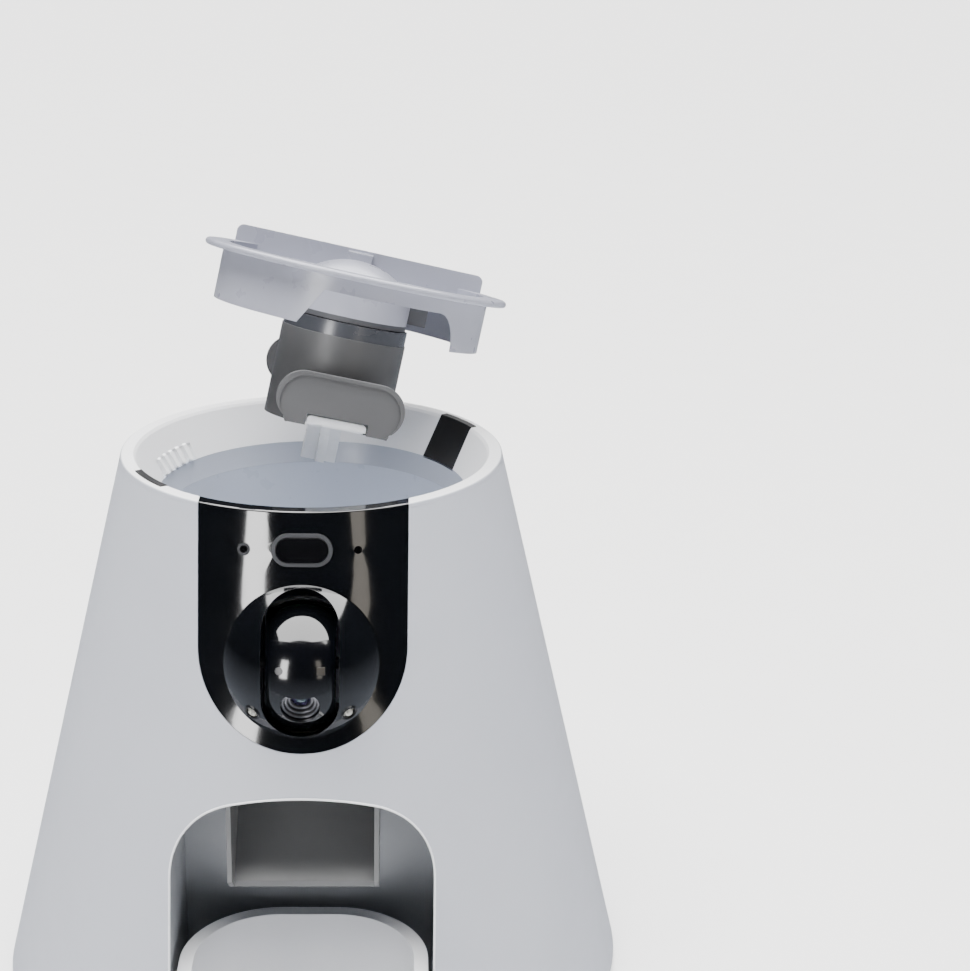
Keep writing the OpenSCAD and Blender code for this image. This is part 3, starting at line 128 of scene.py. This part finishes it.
def strip(name, azimuth, width, watts):
    turn = math.radians(azimuth)
    place = (math.sin(turn) * STRIP_DISTANCE, -math.cos(turn) * STRIP_DISTANCE, STRIP_LIFT)
    return soft_box(name, place, STRIP_TARGET, width, STRIP_HEIGHT, watts)


bpy.ops.object.light_add(type="SUN", location=(0, 0, 2))
sky_panel = bpy.context.object
sky_panel.name = "sky_panel"
sky_panel.data.energy = 12
sky_panel.data.angle = math.radians(55)
sky_panel.data.color = (1.0, 0.985, 0.97)
sky_panel.rotation_euler = pointed_along(Vector((0.04, 0.08, -1)))
sky_panel.visible_glossy = False
soft_box("top_box", (0.06, 0.30, 1.3), (0.06, 0.30, 0), width=1.9, height=2.0, watts=150)
strip("strip_left", azimuth=-28, width=0.30, watts=18)
strip_right = strip("strip_right", azimuth=27.5, width=0.21, watts=1.6)
strip_right.data.color = (1.0, 0.93, 0.82)

# %% [markdown]
# ## The world
# The glowing floor would grey the black plastic, so it is kept out of mirrors, and the dim cool world
# shows there instead: nearly black above the horizon and a soft grey below it. A Map Range node spreads
# the height of each direction over the two.


# %% World
def map_range(tree, value, start, end, low=0.0, high=1.0):
    spread = tree.nodes.new("ShaderNodeMapRange")
    spread.inputs["From Min"].default_value = start
    spread.inputs["From Max"].default_value = end
    spread.inputs["To Min"].default_value = low
    spread.inputs["To Max"].default_value = high
    tree.links.new(value, spread.inputs["Value"])
    return spread.outputs["Result"]


HORIZON = 0.0
WELL_BELOW = -0.6
world = bpy.data.worlds.new("studio_world")
bpy.context.scene.world = world
world.use_nodes = True
sky = world.node_tree
room = sky.nodes["Background"]
room.inputs["Color"].default_value = (0.80, 0.87, 1.0, 1)
outward = sky.nodes.new("ShaderNodeTexCoord")
axes = sky.nodes.new("ShaderNodeSeparateXYZ")
sky.links.new(outward.outputs["Generated"], axes.inputs["Vector"])
glow = map_range(sky, axes.outputs["Z"], HORIZON, WELL_BELOW, low=0.05, high=0.9)
sky.links.new(glow, room.inputs["Strength"])
print("world made")

# %% [markdown]
# ## Finishes
# Nearly everything here is moulded plastic. What sets one piece apart from the next is its tone, its
# gloss and the fine grain of its mould. One function builds such a finish from three noise patterns on
# Object coordinates: a broad one for the tone, a middle one for the gloss and a fine one for the grain.
# A moulded edge is never quite sharp, so the grain sits on normals that a Bevel node has softened.


# %% Moulded plastic
def start_finish(name):
    finish = bpy.data.materials.new(name)
    finish.use_nodes = True
    tree = finish.node_tree
    shader = tree.nodes["Principled BSDF"]
    coords = tree.nodes.new("ShaderNodeTexCoord")
    return finish, tree, shader, coords.outputs["Object"]


def noise_on(tree, place, feature_mm, detail=2.0):
    noise = tree.nodes.new("ShaderNodeTexNoise")
    noise.inputs["Scale"].default_value = 1000 / feature_mm
    noise.inputs["Detail"].default_value = detail
    tree.links.new(place, noise.inputs["Vector"])
    return noise.outputs["Fac"]


def tone_between(tree, shader, fac, dark, light, low=0.35, high=0.65):
    ramp = tree.nodes.new("ShaderNodeValToRGB")
    ramp.color_ramp.elements[0].position = low
    ramp.color_ramp.elements[0].color = (*dark, 1)
    ramp.color_ramp.elements[1].position = high
    ramp.color_ramp.elements[1].color = (*light, 1)
    tree.links.new(fac, ramp.inputs["Fac"])
    tree.links.new(ramp.outputs["Color"], shader.inputs["Base Color"])


def gloss_between(tree, shader, fac, smooth, rough):
    gloss = map_range(tree, fac, 0.3, 0.7, low=smooth, high=rough)
    tree.links.new(gloss, shader.inputs["Roughness"])


def grain_from(tree, shader, fac, depth_mm, strength, edge_mm=0.25):
    edge = tree.nodes.new("ShaderNodeBevel")
    edge.samples = 4
    edge.inputs["Radius"].default_value = edge_mm * MM
    bump = tree.nodes.new("ShaderNodeBump")
    tree.links.new(edge.outputs["Normal"], bump.inputs["Normal"])
    bump.inputs["Distance"].default_value = depth_mm * MM
    bump.inputs["Strength"].default_value = strength
    tree.links.new(fac, bump.inputs["Height"])
    tree.links.new(bump.outputs["Normal"], shader.inputs["Normal"])


def moulded(name, tone, rough, grain_mm=0.5, depth_mm=0.01, strength=0.2, shift=0.03):
    finish, tree, shader, place = start_finish(name)
    dark = tuple(c * (1 - shift) for c in tone)
    tone_between(tree, shader, noise_on(tree, place, feature_mm=45, detail=3), dark, tone)
    smears = noise_on(tree, place, feature_mm=9, detail=3)
    gloss_between(tree, shader, smears, rough - 0.04, rough + 0.05)
    grain_from(tree, shader, noise_on(tree, place, grain_mm), depth_mm, strength)
    return finish


SHELL_TONE = (0.42, 0.44, 0.495)
satin = {"grain_mm": 0.4, "depth_mm": 0.015, "strength": 0.3}
shell_white = moulded(
    "shell_soft_white", SHELL_TONE, 0.50, grain_mm=0.7, depth_mm=0.02, strength=0.25
)
bowl_white = moulded("bowl_satin_white", (0.74, 0.75, 0.775), 0.34)
chamber_grey = moulded("chamber_pale_grey", (0.60, 0.64, 0.72), 0.30)
# The seat ring is the chamber's grey plastic painted darker: painted shade that holds down the light
# its upward ledge catches.
seat_painted_shade_grey = moulded("seat_ring_painted_shade_grey", (0.45, 0.485, 0.56), 0.34)
alcove_grey = moulded("alcove_mid_grey", (0.36, 0.375, 0.40), 0.40)
insert_white = moulded("insert_cool_white", (0.30, 0.31, 0.37), 0.30)
chute_grey = moulded("chute_mid_grey", (0.15, 0.153, 0.156), 0.40)
rotor_grey = moulded(
    "rotor_matte_grey", (0.055, 0.056, 0.059), 0.46, depth_mm=0.015, strength=0.25
)
paddle_grey = moulded("paddle_soft_grey", (0.097, 0.099, 0.105), 0.52, **satin)
seal_slate = moulded("seal_dark_slate", (0.048, 0.050, 0.058), 0.50, **satin)
ring_grey = moulded("button_ring_grey", (0.035, 0.037, 0.042), 0.34, grain_mm=0.4)
gear_cream = moulded("gear_cream", (0.74, 0.72, 0.64), 0.40)
frame_dark = moulded("frame_dark_grey", (0.035, 0.035, 0.04), 0.50, **satin)
board_green = moulded("board_green", (0.02, 0.10, 0.045), 0.32, grain_mm=0.8, shift=0.3)
smoked_window = moulded("window_smoked_satin", (0.003, 0.003, 0.004), 0.38, shift=0.2)
sensor_tan = moulded("sensor_tan", (0.035, 0.031, 0.025), 0.45, grain_mm=0.3, shift=0.2)
foot_rubber = moulded(
    "foot_grey_rubber", (0.07, 0.07, 0.075), 0.75, grain_mm=0.4, depth_mm=0.03, strength=0.5, shift=0.15
)
status_grey = moulded("status_dim_grey", (0.03, 0.03, 0.032), 0.35, grain_mm=0.3, shift=0.2)
barrel_grey = moulded("barrel_matte_grey", (0.06, 0.06, 0.066), 0.42, grain_mm=0.3, shift=0.1)
floor_pale = moulded(
    "floor_pale", (0.88, 0.885, 0.89), 0.75, grain_mm=3, depth_mm=0.02, strength=0.1, shift=0.01
)
floor.data.materials.append(floor_pale)
wall.data.materials.append(floor_pale)
print("moulded finishes made")

# %% [markdown]
# ## The rim and its painted highlight
# The rim's top and its funnel are given a far brighter white than the body. This is partly the rim's
# own white and partly a painted highlight for the overhead light they catch. The gloss is the same all
# over. Its outer side has the body's own tone. The distance from the feeder's axis tells the two apart:
# a Mapping node flattens the coordinates, and their length is spread over a narrow step.

# %% Rim finish
RIM_PAINTED_HIGHLIGHT_TONE = (0.90, 0.91, 0.93)
PAINTED_HIGHLIGHT_UP_TO = 69.5
BODY_TONE_FROM = 69.95
rim_white_painted_highlight, tree, shader, place = start_finish("rim_painted_highlight_white")
flat = tree.nodes.new("ShaderNodeMapping")
flat.inputs["Scale"].default_value = (1, 1, 0)
tree.links.new(place, flat.inputs["Vector"])
from_axis = tree.nodes.new("ShaderNodeVectorMath")
from_axis.operation = "LENGTH"
tree.links.new(flat.outputs["Vector"], from_axis.inputs[0])
step = map_range(tree, from_axis.outputs["Value"], PAINTED_HIGHLIGHT_UP_TO * MM, BODY_TONE_FROM * MM)
# The top and the funnel take the brighter tone, partly painted highlight; the outer side takes the
# body's tone.
tone_between(tree, shader, step, RIM_PAINTED_HIGHLIGHT_TONE, SHELL_TONE, low=0.0, high=1.0)
gloss_between(tree, shader, noise_on(tree, place, feature_mm=9, detail=3), 0.32, 0.40)
grain_from(tree, shader, noise_on(tree, place, feature_mm=0.5), depth_mm=0.01, strength=0.2)
print("rim finish made")

# %% [markdown]
# ## Gloss black
# The panel, the dome and the camera head are polished black plastic. Its mirror is what shows, so the
# colour is nearly nothing, and a thin clear coat gives the sharp strips. A faint film of handling
# changes the gloss from place to place.


# %% Gloss plastics
def polished(name, tone, rough, coat):
    finish, tree, shader, place = start_finish(name)
    light = tuple(c * 1.5 for c in tone)
    tone_between(tree, shader, noise_on(tree, place, feature_mm=30, detail=4), tone, light)
    film = noise_on(tree, place, feature_mm=14, detail=5)
    gloss_between(tree, shader, film, rough, rough + 0.06)
    ripple = noise_on(tree, place, feature_mm=8, detail=1)
    grain_from(tree, shader, ripple, depth_mm=0.02, strength=0.05, edge_mm=0.08)
    shader.inputs["Coat Weight"].default_value = coat
    shader.inputs["Coat Roughness"].default_value = 0.03
    return finish


panel_black = polished("panel_gloss_black", (0.0012, 0.0015, 0.0022), rough=0.07, coat=0.4)
head_black = polished("head_gloss_black", (0.0012, 0.0015, 0.002), rough=0.05, coat=0.5)
window_black = polished("window_smoked_black", (0.001, 0.0012, 0.002), rough=0.10, coat=0.2)
button_black = polished("button_satin_black", (0.0015, 0.0015, 0.002), rough=0.10, coat=0.0)
slate_gloss = polished("ring_slate_gloss", (0.029, 0.031, 0.037), rough=0.22, coat=0.0)
print("gloss finishes made")

# %% [markdown]
# ## Metal, glass and clear plastic
# The ring of the set button, the screws, the axle and the drive motor are bright metal, and the bush
# and the pinion of the gear train are brass. The lens has a purple coating, the night lights are clear
# domes, and the rotor's foot is a milky plastic that lets some light in.


# %% Metal, glass and milky plastic
def metal(name, tone, rough, streak_mm):
    finish, tree, shader, place = start_finish(name)
    stretch = tree.nodes.new("ShaderNodeMapping")
    stretch.inputs["Scale"].default_value = (1, 1, 12)
    tree.links.new(place, stretch.inputs["Vector"])
    streaks = noise_on(tree, stretch.outputs["Vector"], streak_mm, detail=3)
    tone_between(tree, shader, streaks, tuple(c * 0.88 for c in tone), tone)
    gloss_between(tree, shader, streaks, rough - 0.05, rough + 0.08)
    shader.inputs["Metallic"].default_value = 1.0
    return finish


steel = metal("brushed_steel", (0.55, 0.55, 0.57), rough=0.30, streak_mm=2)
bright_ring = metal("set_ring_bright", (0.50, 0.50, 0.52), rough=0.18, streak_mm=1)
brass = metal("drive_brass", (0.70, 0.50, 0.24), rough=0.30, streak_mm=2)
lens_metal = metal("lens_ring_dark_metal", (0.24, 0.24, 0.255), rough=0.30, streak_mm=1)

coated_glass, tree, shader, place = start_finish("lens_coated_glass")
tint = noise_on(tree, place, feature_mm=6, detail=1)
tone_between(tree, shader, tint, (0.010, 0.008, 0.022), (0.020, 0.016, 0.040))
gloss_between(tree, shader, noise_on(tree, place, feature_mm=4, detail=2), 0.02, 0.05)
shader.inputs["Coat Weight"].default_value = 1.0
shader.inputs["Coat Roughness"].default_value = 0.02
shader.inputs["Thin Film Thickness"].default_value = 420
shader.inputs["Thin Film IOR"].default_value = 1.38

clear_lamp, tree, shader, place = start_finish("night_light_clear")
tint = noise_on(tree, place, feature_mm=2, detail=2)
tone_between(tree, shader, tint, (0.72, 0.72, 0.66), (0.90, 0.90, 0.86))
gloss_between(tree, shader, tint, 0.06, 0.14)
shader.inputs["Transmission Weight"].default_value = 0.7
shader.inputs["IOR"].default_value = 1.49

milky, tree, shader, place = start_finish("foot_milky_plastic")
tint = noise_on(tree, place, feature_mm=20, detail=3)
tone_between(tree, shader, tint, (0.86, 0.88, 0.92), (0.90, 0.92, 0.95))
gloss_between(tree, shader, noise_on(tree, place, feature_mm=6, detail=3), 0.22, 0.30)
grain_from(tree, shader, noise_on(tree, place, feature_mm=0.6), depth_mm=0.01, strength=0.2)
shader.inputs["Subsurface Weight"].default_value = 0.1
shader.inputs["Subsurface Radius"].default_value = (0.004, 0.004, 0.005)
shader.inputs["Subsurface Scale"].default_value = 1.0
print("metal, glass and milky finishes made")

# %% [markdown]
# ## Finishes on the solids
# Each solid from CAD gets one of these finishes. A list for each finish keeps the choice easy to read
# and to change.

# %% Give each solid its finish
worn_by = {
    shell_white: ["outer_shell", "base_plate"],
    rim_white_painted_highlight: ["rim_ring"],
    bowl_white: ["bowl"],
    panel_black: ["front_panel", "camera_dome"],
    smoked_window: ["sensor_window_right", "sensor_window_left"],
    head_black: ["head_shell"],
    barrel_grey: ["lens_barrel"],
    window_black: ["head_window"],
    button_black: ["feed_button", "set_button"],
    ring_grey: ["button_ring"],
    bright_ring: ["set_ring"],
    chamber_grey: ["chamber", "chamber_floor"],
    seat_painted_shade_grey: ["seat_ring"],
    alcove_grey: ["alcove_liner"],
    chute_grey: ["chute"],
    insert_white: ["insert_cover"],
    seal_slate: ["hub_seal", "wiper"],
    slate_gloss: ["hub_ring"],
    rotor_grey: ["rotor_hub"],
    paddle_grey: ["paddle_front", "paddle_back"],
    milky: ["drive_core"],
    coated_glass: ["lens_glass"],
    clear_lamp: ["led_left", "led_right"],
    status_grey: ["status_light"],
    sensor_tan: ["light_sensor"],
    steel: [
        "camera_screws", "gearbox_screws", "base_screws", "idler_pin", "rotor_axle", "axle_clip",
        "drive_motor",
    ],
    brass: ["output_bush", "motor_pinion"],
    gear_cream: ["output_gear", "idler_gear", "gearbox_housing", "gearbox_cover"],
    board_green: ["image_board", "panel_board", "main_board"],
    frame_dark: [
        "camera_yoke", "tilt_motor", "tilt_pin", "switches", "ir_emitter", "ir_receiver", "microphone",
        "speaker", "dc_jack",
    ],
    foot_rubber: ["feet"],
}
for finish, names in worn_by.items():
    for name in names:
        nodes[name].data.materials.clear()
        nodes[name].data.materials.append(finish)
bare = sorted(set(nodes) - {n for names in worn_by.values() for n in names})
print("solids without a finish:", bare)

# %% [markdown]
# ## Turned details
# The bezels round the night lights, the rings in the lens, the contacts of the power socket and the
# gauze over the speaker are all round. A turner would make each from one profile, so this helper does
# the same: a plane is merged to a point, the point is extruded along the profile, and Spin sweeps it
# round the upright axis. A profile is a list of radius and height, in millimetres. The finished piece
# is then set in place, and its place is applied.


# %% Turning helpers
def start_at(name, point_mm):
    bpy.ops.object.select_all(action="DESELECT")
    bpy.ops.mesh.primitive_plane_add(size=2 * MM)
    piece = bpy.context.object
    piece.name = name
    bpy.ops.object.mode_set(mode="EDIT")
    bpy.ops.mesh.select_all(action="SELECT")
    bpy.ops.mesh.merge(type="CENTER")
    bpy.ops.transform.translate(value=Vector(point_mm) * MM)
    return piece


def draw_on(points_mm):
    for here, there in zip(points_mm, points_mm[1:]):
        reach = (Vector(there) - Vector(here)) * MM
        bpy.ops.mesh.extrude_vertices_move(TRANSFORM_OT_translate={"value": reach})


def turned(name, profile, steps=64):
    points = [(r, 0, h) for r, h in profile]
    piece = start_at(name, points[0])
    draw_on(points)
    bpy.ops.mesh.select_all(action="SELECT")
    bpy.ops.mesh.spin(steps=steps, angle=math.tau, center=(0, 0, 0), axis=(0, 0, 1))
    bpy.ops.mesh.select_all(action="SELECT")
    bpy.ops.mesh.remove_doubles(threshold=0.002 * MM)
    bpy.ops.mesh.normals_make_consistent(inside=False)
    bpy.ops.object.mode_set(mode="OBJECT")
    bpy.ops.object.shade_smooth_by_angle(angle=math.radians(35))
    return piece


def settle(piece, spot, finish, body):
    bpy.ops.object.select_all(action="DESELECT")
    piece.select_set(True)
    bpy.context.view_layer.objects.active = piece
    piece.matrix_world = spot
    bpy.ops.object.transform_apply(location=True, rotation=True, scale=True)
    piece.data.materials.append(finish)
    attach(piece, body)
    print(piece.name, "faces:", len(piece.data.polygons))


# %% [markdown]
# ## Where the panel, the lens and the back face
# The panel leans back with the cone, and so does the body's rear side. The camera head looks a little
# down. These matrices turn the upright axis of a turned piece to each of them, from the same sizes as
# the solids have, in millimetres and degrees.

# %% Panel, lens and rear frames
BODY_HEIGHT = 210
RIM_RADIUS = 70
BODY_SLOPE = 0.2427
DOME_DOWN = 50.9
PIVOT_DOWN = 2.5
PIVOT_DEEP = 12.4
LENS_DIP = 17
lean = math.atan(BODY_SLOPE)


def cone_radius(z):
    return RIM_RADIUS + BODY_SLOPE * (BODY_HEIGHT - z)


def facing_at(y, z, turn):
    return Matrix.Translation(Vector((0, y, z)) * MM) @ Matrix.Rotation(turn, 4, "X")


def on_rear(z):
    return facing_at(cone_radius(z), z, lean - math.pi / 2)


dome_z = BODY_HEIGHT - DOME_DOWN * math.cos(lean)
dome_y = -cone_radius(dome_z)
on_panel = facing_at(dome_y, dome_z, math.pi / 2 - lean)
pivot_y = dome_y - PIVOT_DOWN * math.sin(lean) + PIVOT_DEEP * math.cos(lean)
pivot_z = dome_z - PIVOT_DOWN * math.cos(lean) - PIVOT_DEEP * math.sin(lean)
on_lens = facing_at(pivot_y, pivot_z, math.radians(LENS_DIP + 90))
print("panel middle at", round(dome_y, 2), round(dome_z, 2))

# %% [markdown]
# ## Night light bezels
# Each clear night light sits in a narrow dark collar that stands a third of a millimetre proud of the
# dome. The collar points along the dome's own normal, which runs from the middle of its sphere.

# %% Night light bezels
DOME_RADIUS = 26.3
DOME_HEIGHT = 14
LIGHT_ACROSS = 16.3
LIGHT_DOWN = 16.5
ball_r = (DOME_RADIUS ** 2 + DOME_HEIGHT ** 2) / (2 * DOME_HEIGHT)
bezel = [
    (2.25, -0.3), (2.25, 0.18), (2.38, 0.32), (2.55, 0.36), (2.75, 0.32), (2.95, 0.16),
    (3.02, -0.05), (3.02, -0.3), (2.25, -0.3),
]
for side, name in ((-1, "night_light_bezel_left"), (1, "night_light_bezel_right")):
    across = side * LIGHT_ACROSS
    out = math.sqrt(ball_r ** 2 - across ** 2 - LIGHT_DOWN ** 2)
    to_normal = Vector((across, -LIGHT_DOWN, out)).to_track_quat("Z", "Y")
    seat = Vector((across, -LIGHT_DOWN, out + DOME_HEIGHT - ball_r)) * MM
    spot = on_panel @ Matrix.Translation(seat) @ to_normal.to_matrix().to_4x4()
    settle(turned(name, bezel), spot, button_black, "feeder")

# %% [markdown]
# ## Rings in the lens
# A small lens is a stack of stepped, blackened rings. The steps are in the solid. On each step lies a
# thin machined ring, whose rounded edge draws a bright circle. Each ring is given by its inner radius,
# its outer radius and the height of its step above the head's pivot.

# %% Lens rings
lens_rings = {
    "lens_ring_front": (5.7, 6.45, 20.85),
    "lens_ring_middle": (4.6, 5.45, 19.75),
    "lens_ring_back": (3.5, 4.35, 18.65),
}
for name, (inner, outer, low) in lens_rings.items():
    ring = [
        (inner, low), (inner, low + 0.2), (inner + 0.12, low + 0.34),
        ((inner + outer) / 2, low + 0.4),
        (outer - 0.12, low + 0.34), (outer, low + 0.2), (outer, low), (inner, low),
    ]
    settle(turned(name, ring), on_lens, lens_metal, "camera_head")

# %% [markdown]
# ## Power socket
# The socket at the back has a plated sleeve round its mouth, and the pin in its middle has a rounded,
# plated tip.

# %% Power socket contacts
SOCKET_Z = 22
sleeve = [
    (3.15, -0.6), (3.15, -0.2), (3.3, -0.08), (3.9, -0.08), (4.15, -0.2), (4.2, -0.6), (3.15, -0.6),
]
settle(turned("socket_sleeve", sleeve), on_rear(SOCKET_Z), bright_ring, "feeder")
tip = [(0, -0.02), (0.45, -0.08), (0.85, -0.3), (1.08, -0.7), (1.08, -3), (0, -3)]
settle(turned("socket_pin_tip", tip, steps=32), on_rear(SOCKET_Z), brass, "feeder")

# %% [markdown]
# ## Speaker gauze
# A stiff wire gauze keeps crumbs out of the speaker. It shows through the holes at the back, and needs
# a weave: two wave patterns that cross at right angles make the threads, in colour and in height.

# %% Speaker gauze
SPEAKER_Z = 70
WIRE_SCALE = 400
weave, tree, shader, place = start_finish("speaker_gauze_weave")
crossed = tree.nodes.new("ShaderNodeMath")
crossed.operation = "MULTIPLY"
for socket, direction in enumerate("XZ"):
    wave = tree.nodes.new("ShaderNodeTexWave")
    wave.bands_direction = direction
    wave.inputs["Scale"].default_value = WIRE_SCALE
    wave.inputs["Distortion"].default_value = 0.4
    tree.links.new(place, wave.inputs["Vector"])
    tree.links.new(wave.outputs["Fac"], crossed.inputs[socket])
threads = crossed.outputs["Value"]
tone_between(tree, shader, threads, (0.012, 0.012, 0.013), (0.06, 0.06, 0.065), low=0.0, high=1.0)
gloss_between(tree, shader, noise_on(tree, place, feature_mm=3), 0.75, 0.9)
grain_from(tree, shader, threads, depth_mm=0.1, strength=0.5)
gauze = [(0, -9.6), (5, -9.7), (10, -9.95), (14, -10.3), (16.6, -10.7), (16.6, -11.2), (0, -11.2)]
settle(turned("speaker_gauze", gauze), on_rear(SPEAKER_Z), weave, "feeder")

# %% [markdown]
# ## A bead along the arch
# The body's edge round the bowl's arch is rolled to a thin bead that catches the light. The bead wears
# the bowl's brighter white rather than the body's tone, which paints a highlight along the edge. Its
# path is the arch's own outline: two upright sides, two corners and a flat crown, all lying on the
# cone. The path is drawn as a chain of points, made a curve, and given a round section.

# %% Arch bead
ARCH_HALF = 46
CORNER_R = 30
CROWN_R = 85
CROWN_Z = 29.6
BEAD_FOOT_Z = 16
BEAD_R = 0.4
SIDE_STEPS = 10
CORNER_STEPS = 14
CROWN_STEPS = 8
corner_x = ARCH_HALF - CORNER_R
corner_z = CROWN_Z + math.sqrt((CROWN_R - CORNER_R) ** 2 - corner_x ** 2)
meet = math.atan2(corner_z - CROWN_Z, corner_x)
outline = []
for i in range(SIDE_STEPS):
    outline.append((ARCH_HALF, BEAD_FOOT_Z + (corner_z - BEAD_FOOT_Z) * i / SIDE_STEPS))
for i in range(CORNER_STEPS):
    turn = meet * i / CORNER_STEPS
    outline.append((corner_x + CORNER_R * math.cos(turn), corner_z + CORNER_R * math.sin(turn)))
for i in range(CROWN_STEPS + 1):
    turn = meet + (math.pi / 2 - meet) * i / CROWN_STEPS
    outline.append((CROWN_R * math.cos(turn), CROWN_Z + CROWN_R * math.sin(turn)))
outline += [(-x, z) for x, z in reversed(outline[:-1])]
path = [(x, -math.sqrt(cone_radius(z) ** 2 - x ** 2), z) for x, z in outline]
bead = start_at("arch_bead", path[0])
draw_on(path)
bpy.ops.object.mode_set(mode="OBJECT")
bpy.ops.object.convert(target="CURVE")
bead.data.bevel_depth = BEAD_R * MM
bead.data.bevel_resolution = 3
bead.data.use_fill_caps = True
bpy.ops.object.convert(target="MESH")
bpy.ops.object.shade_smooth()
# The bowl white on the bead is a painted highlight along the body's edge.
settle(bpy.context.object, Matrix.Identity(4), bowl_white, "feeder")
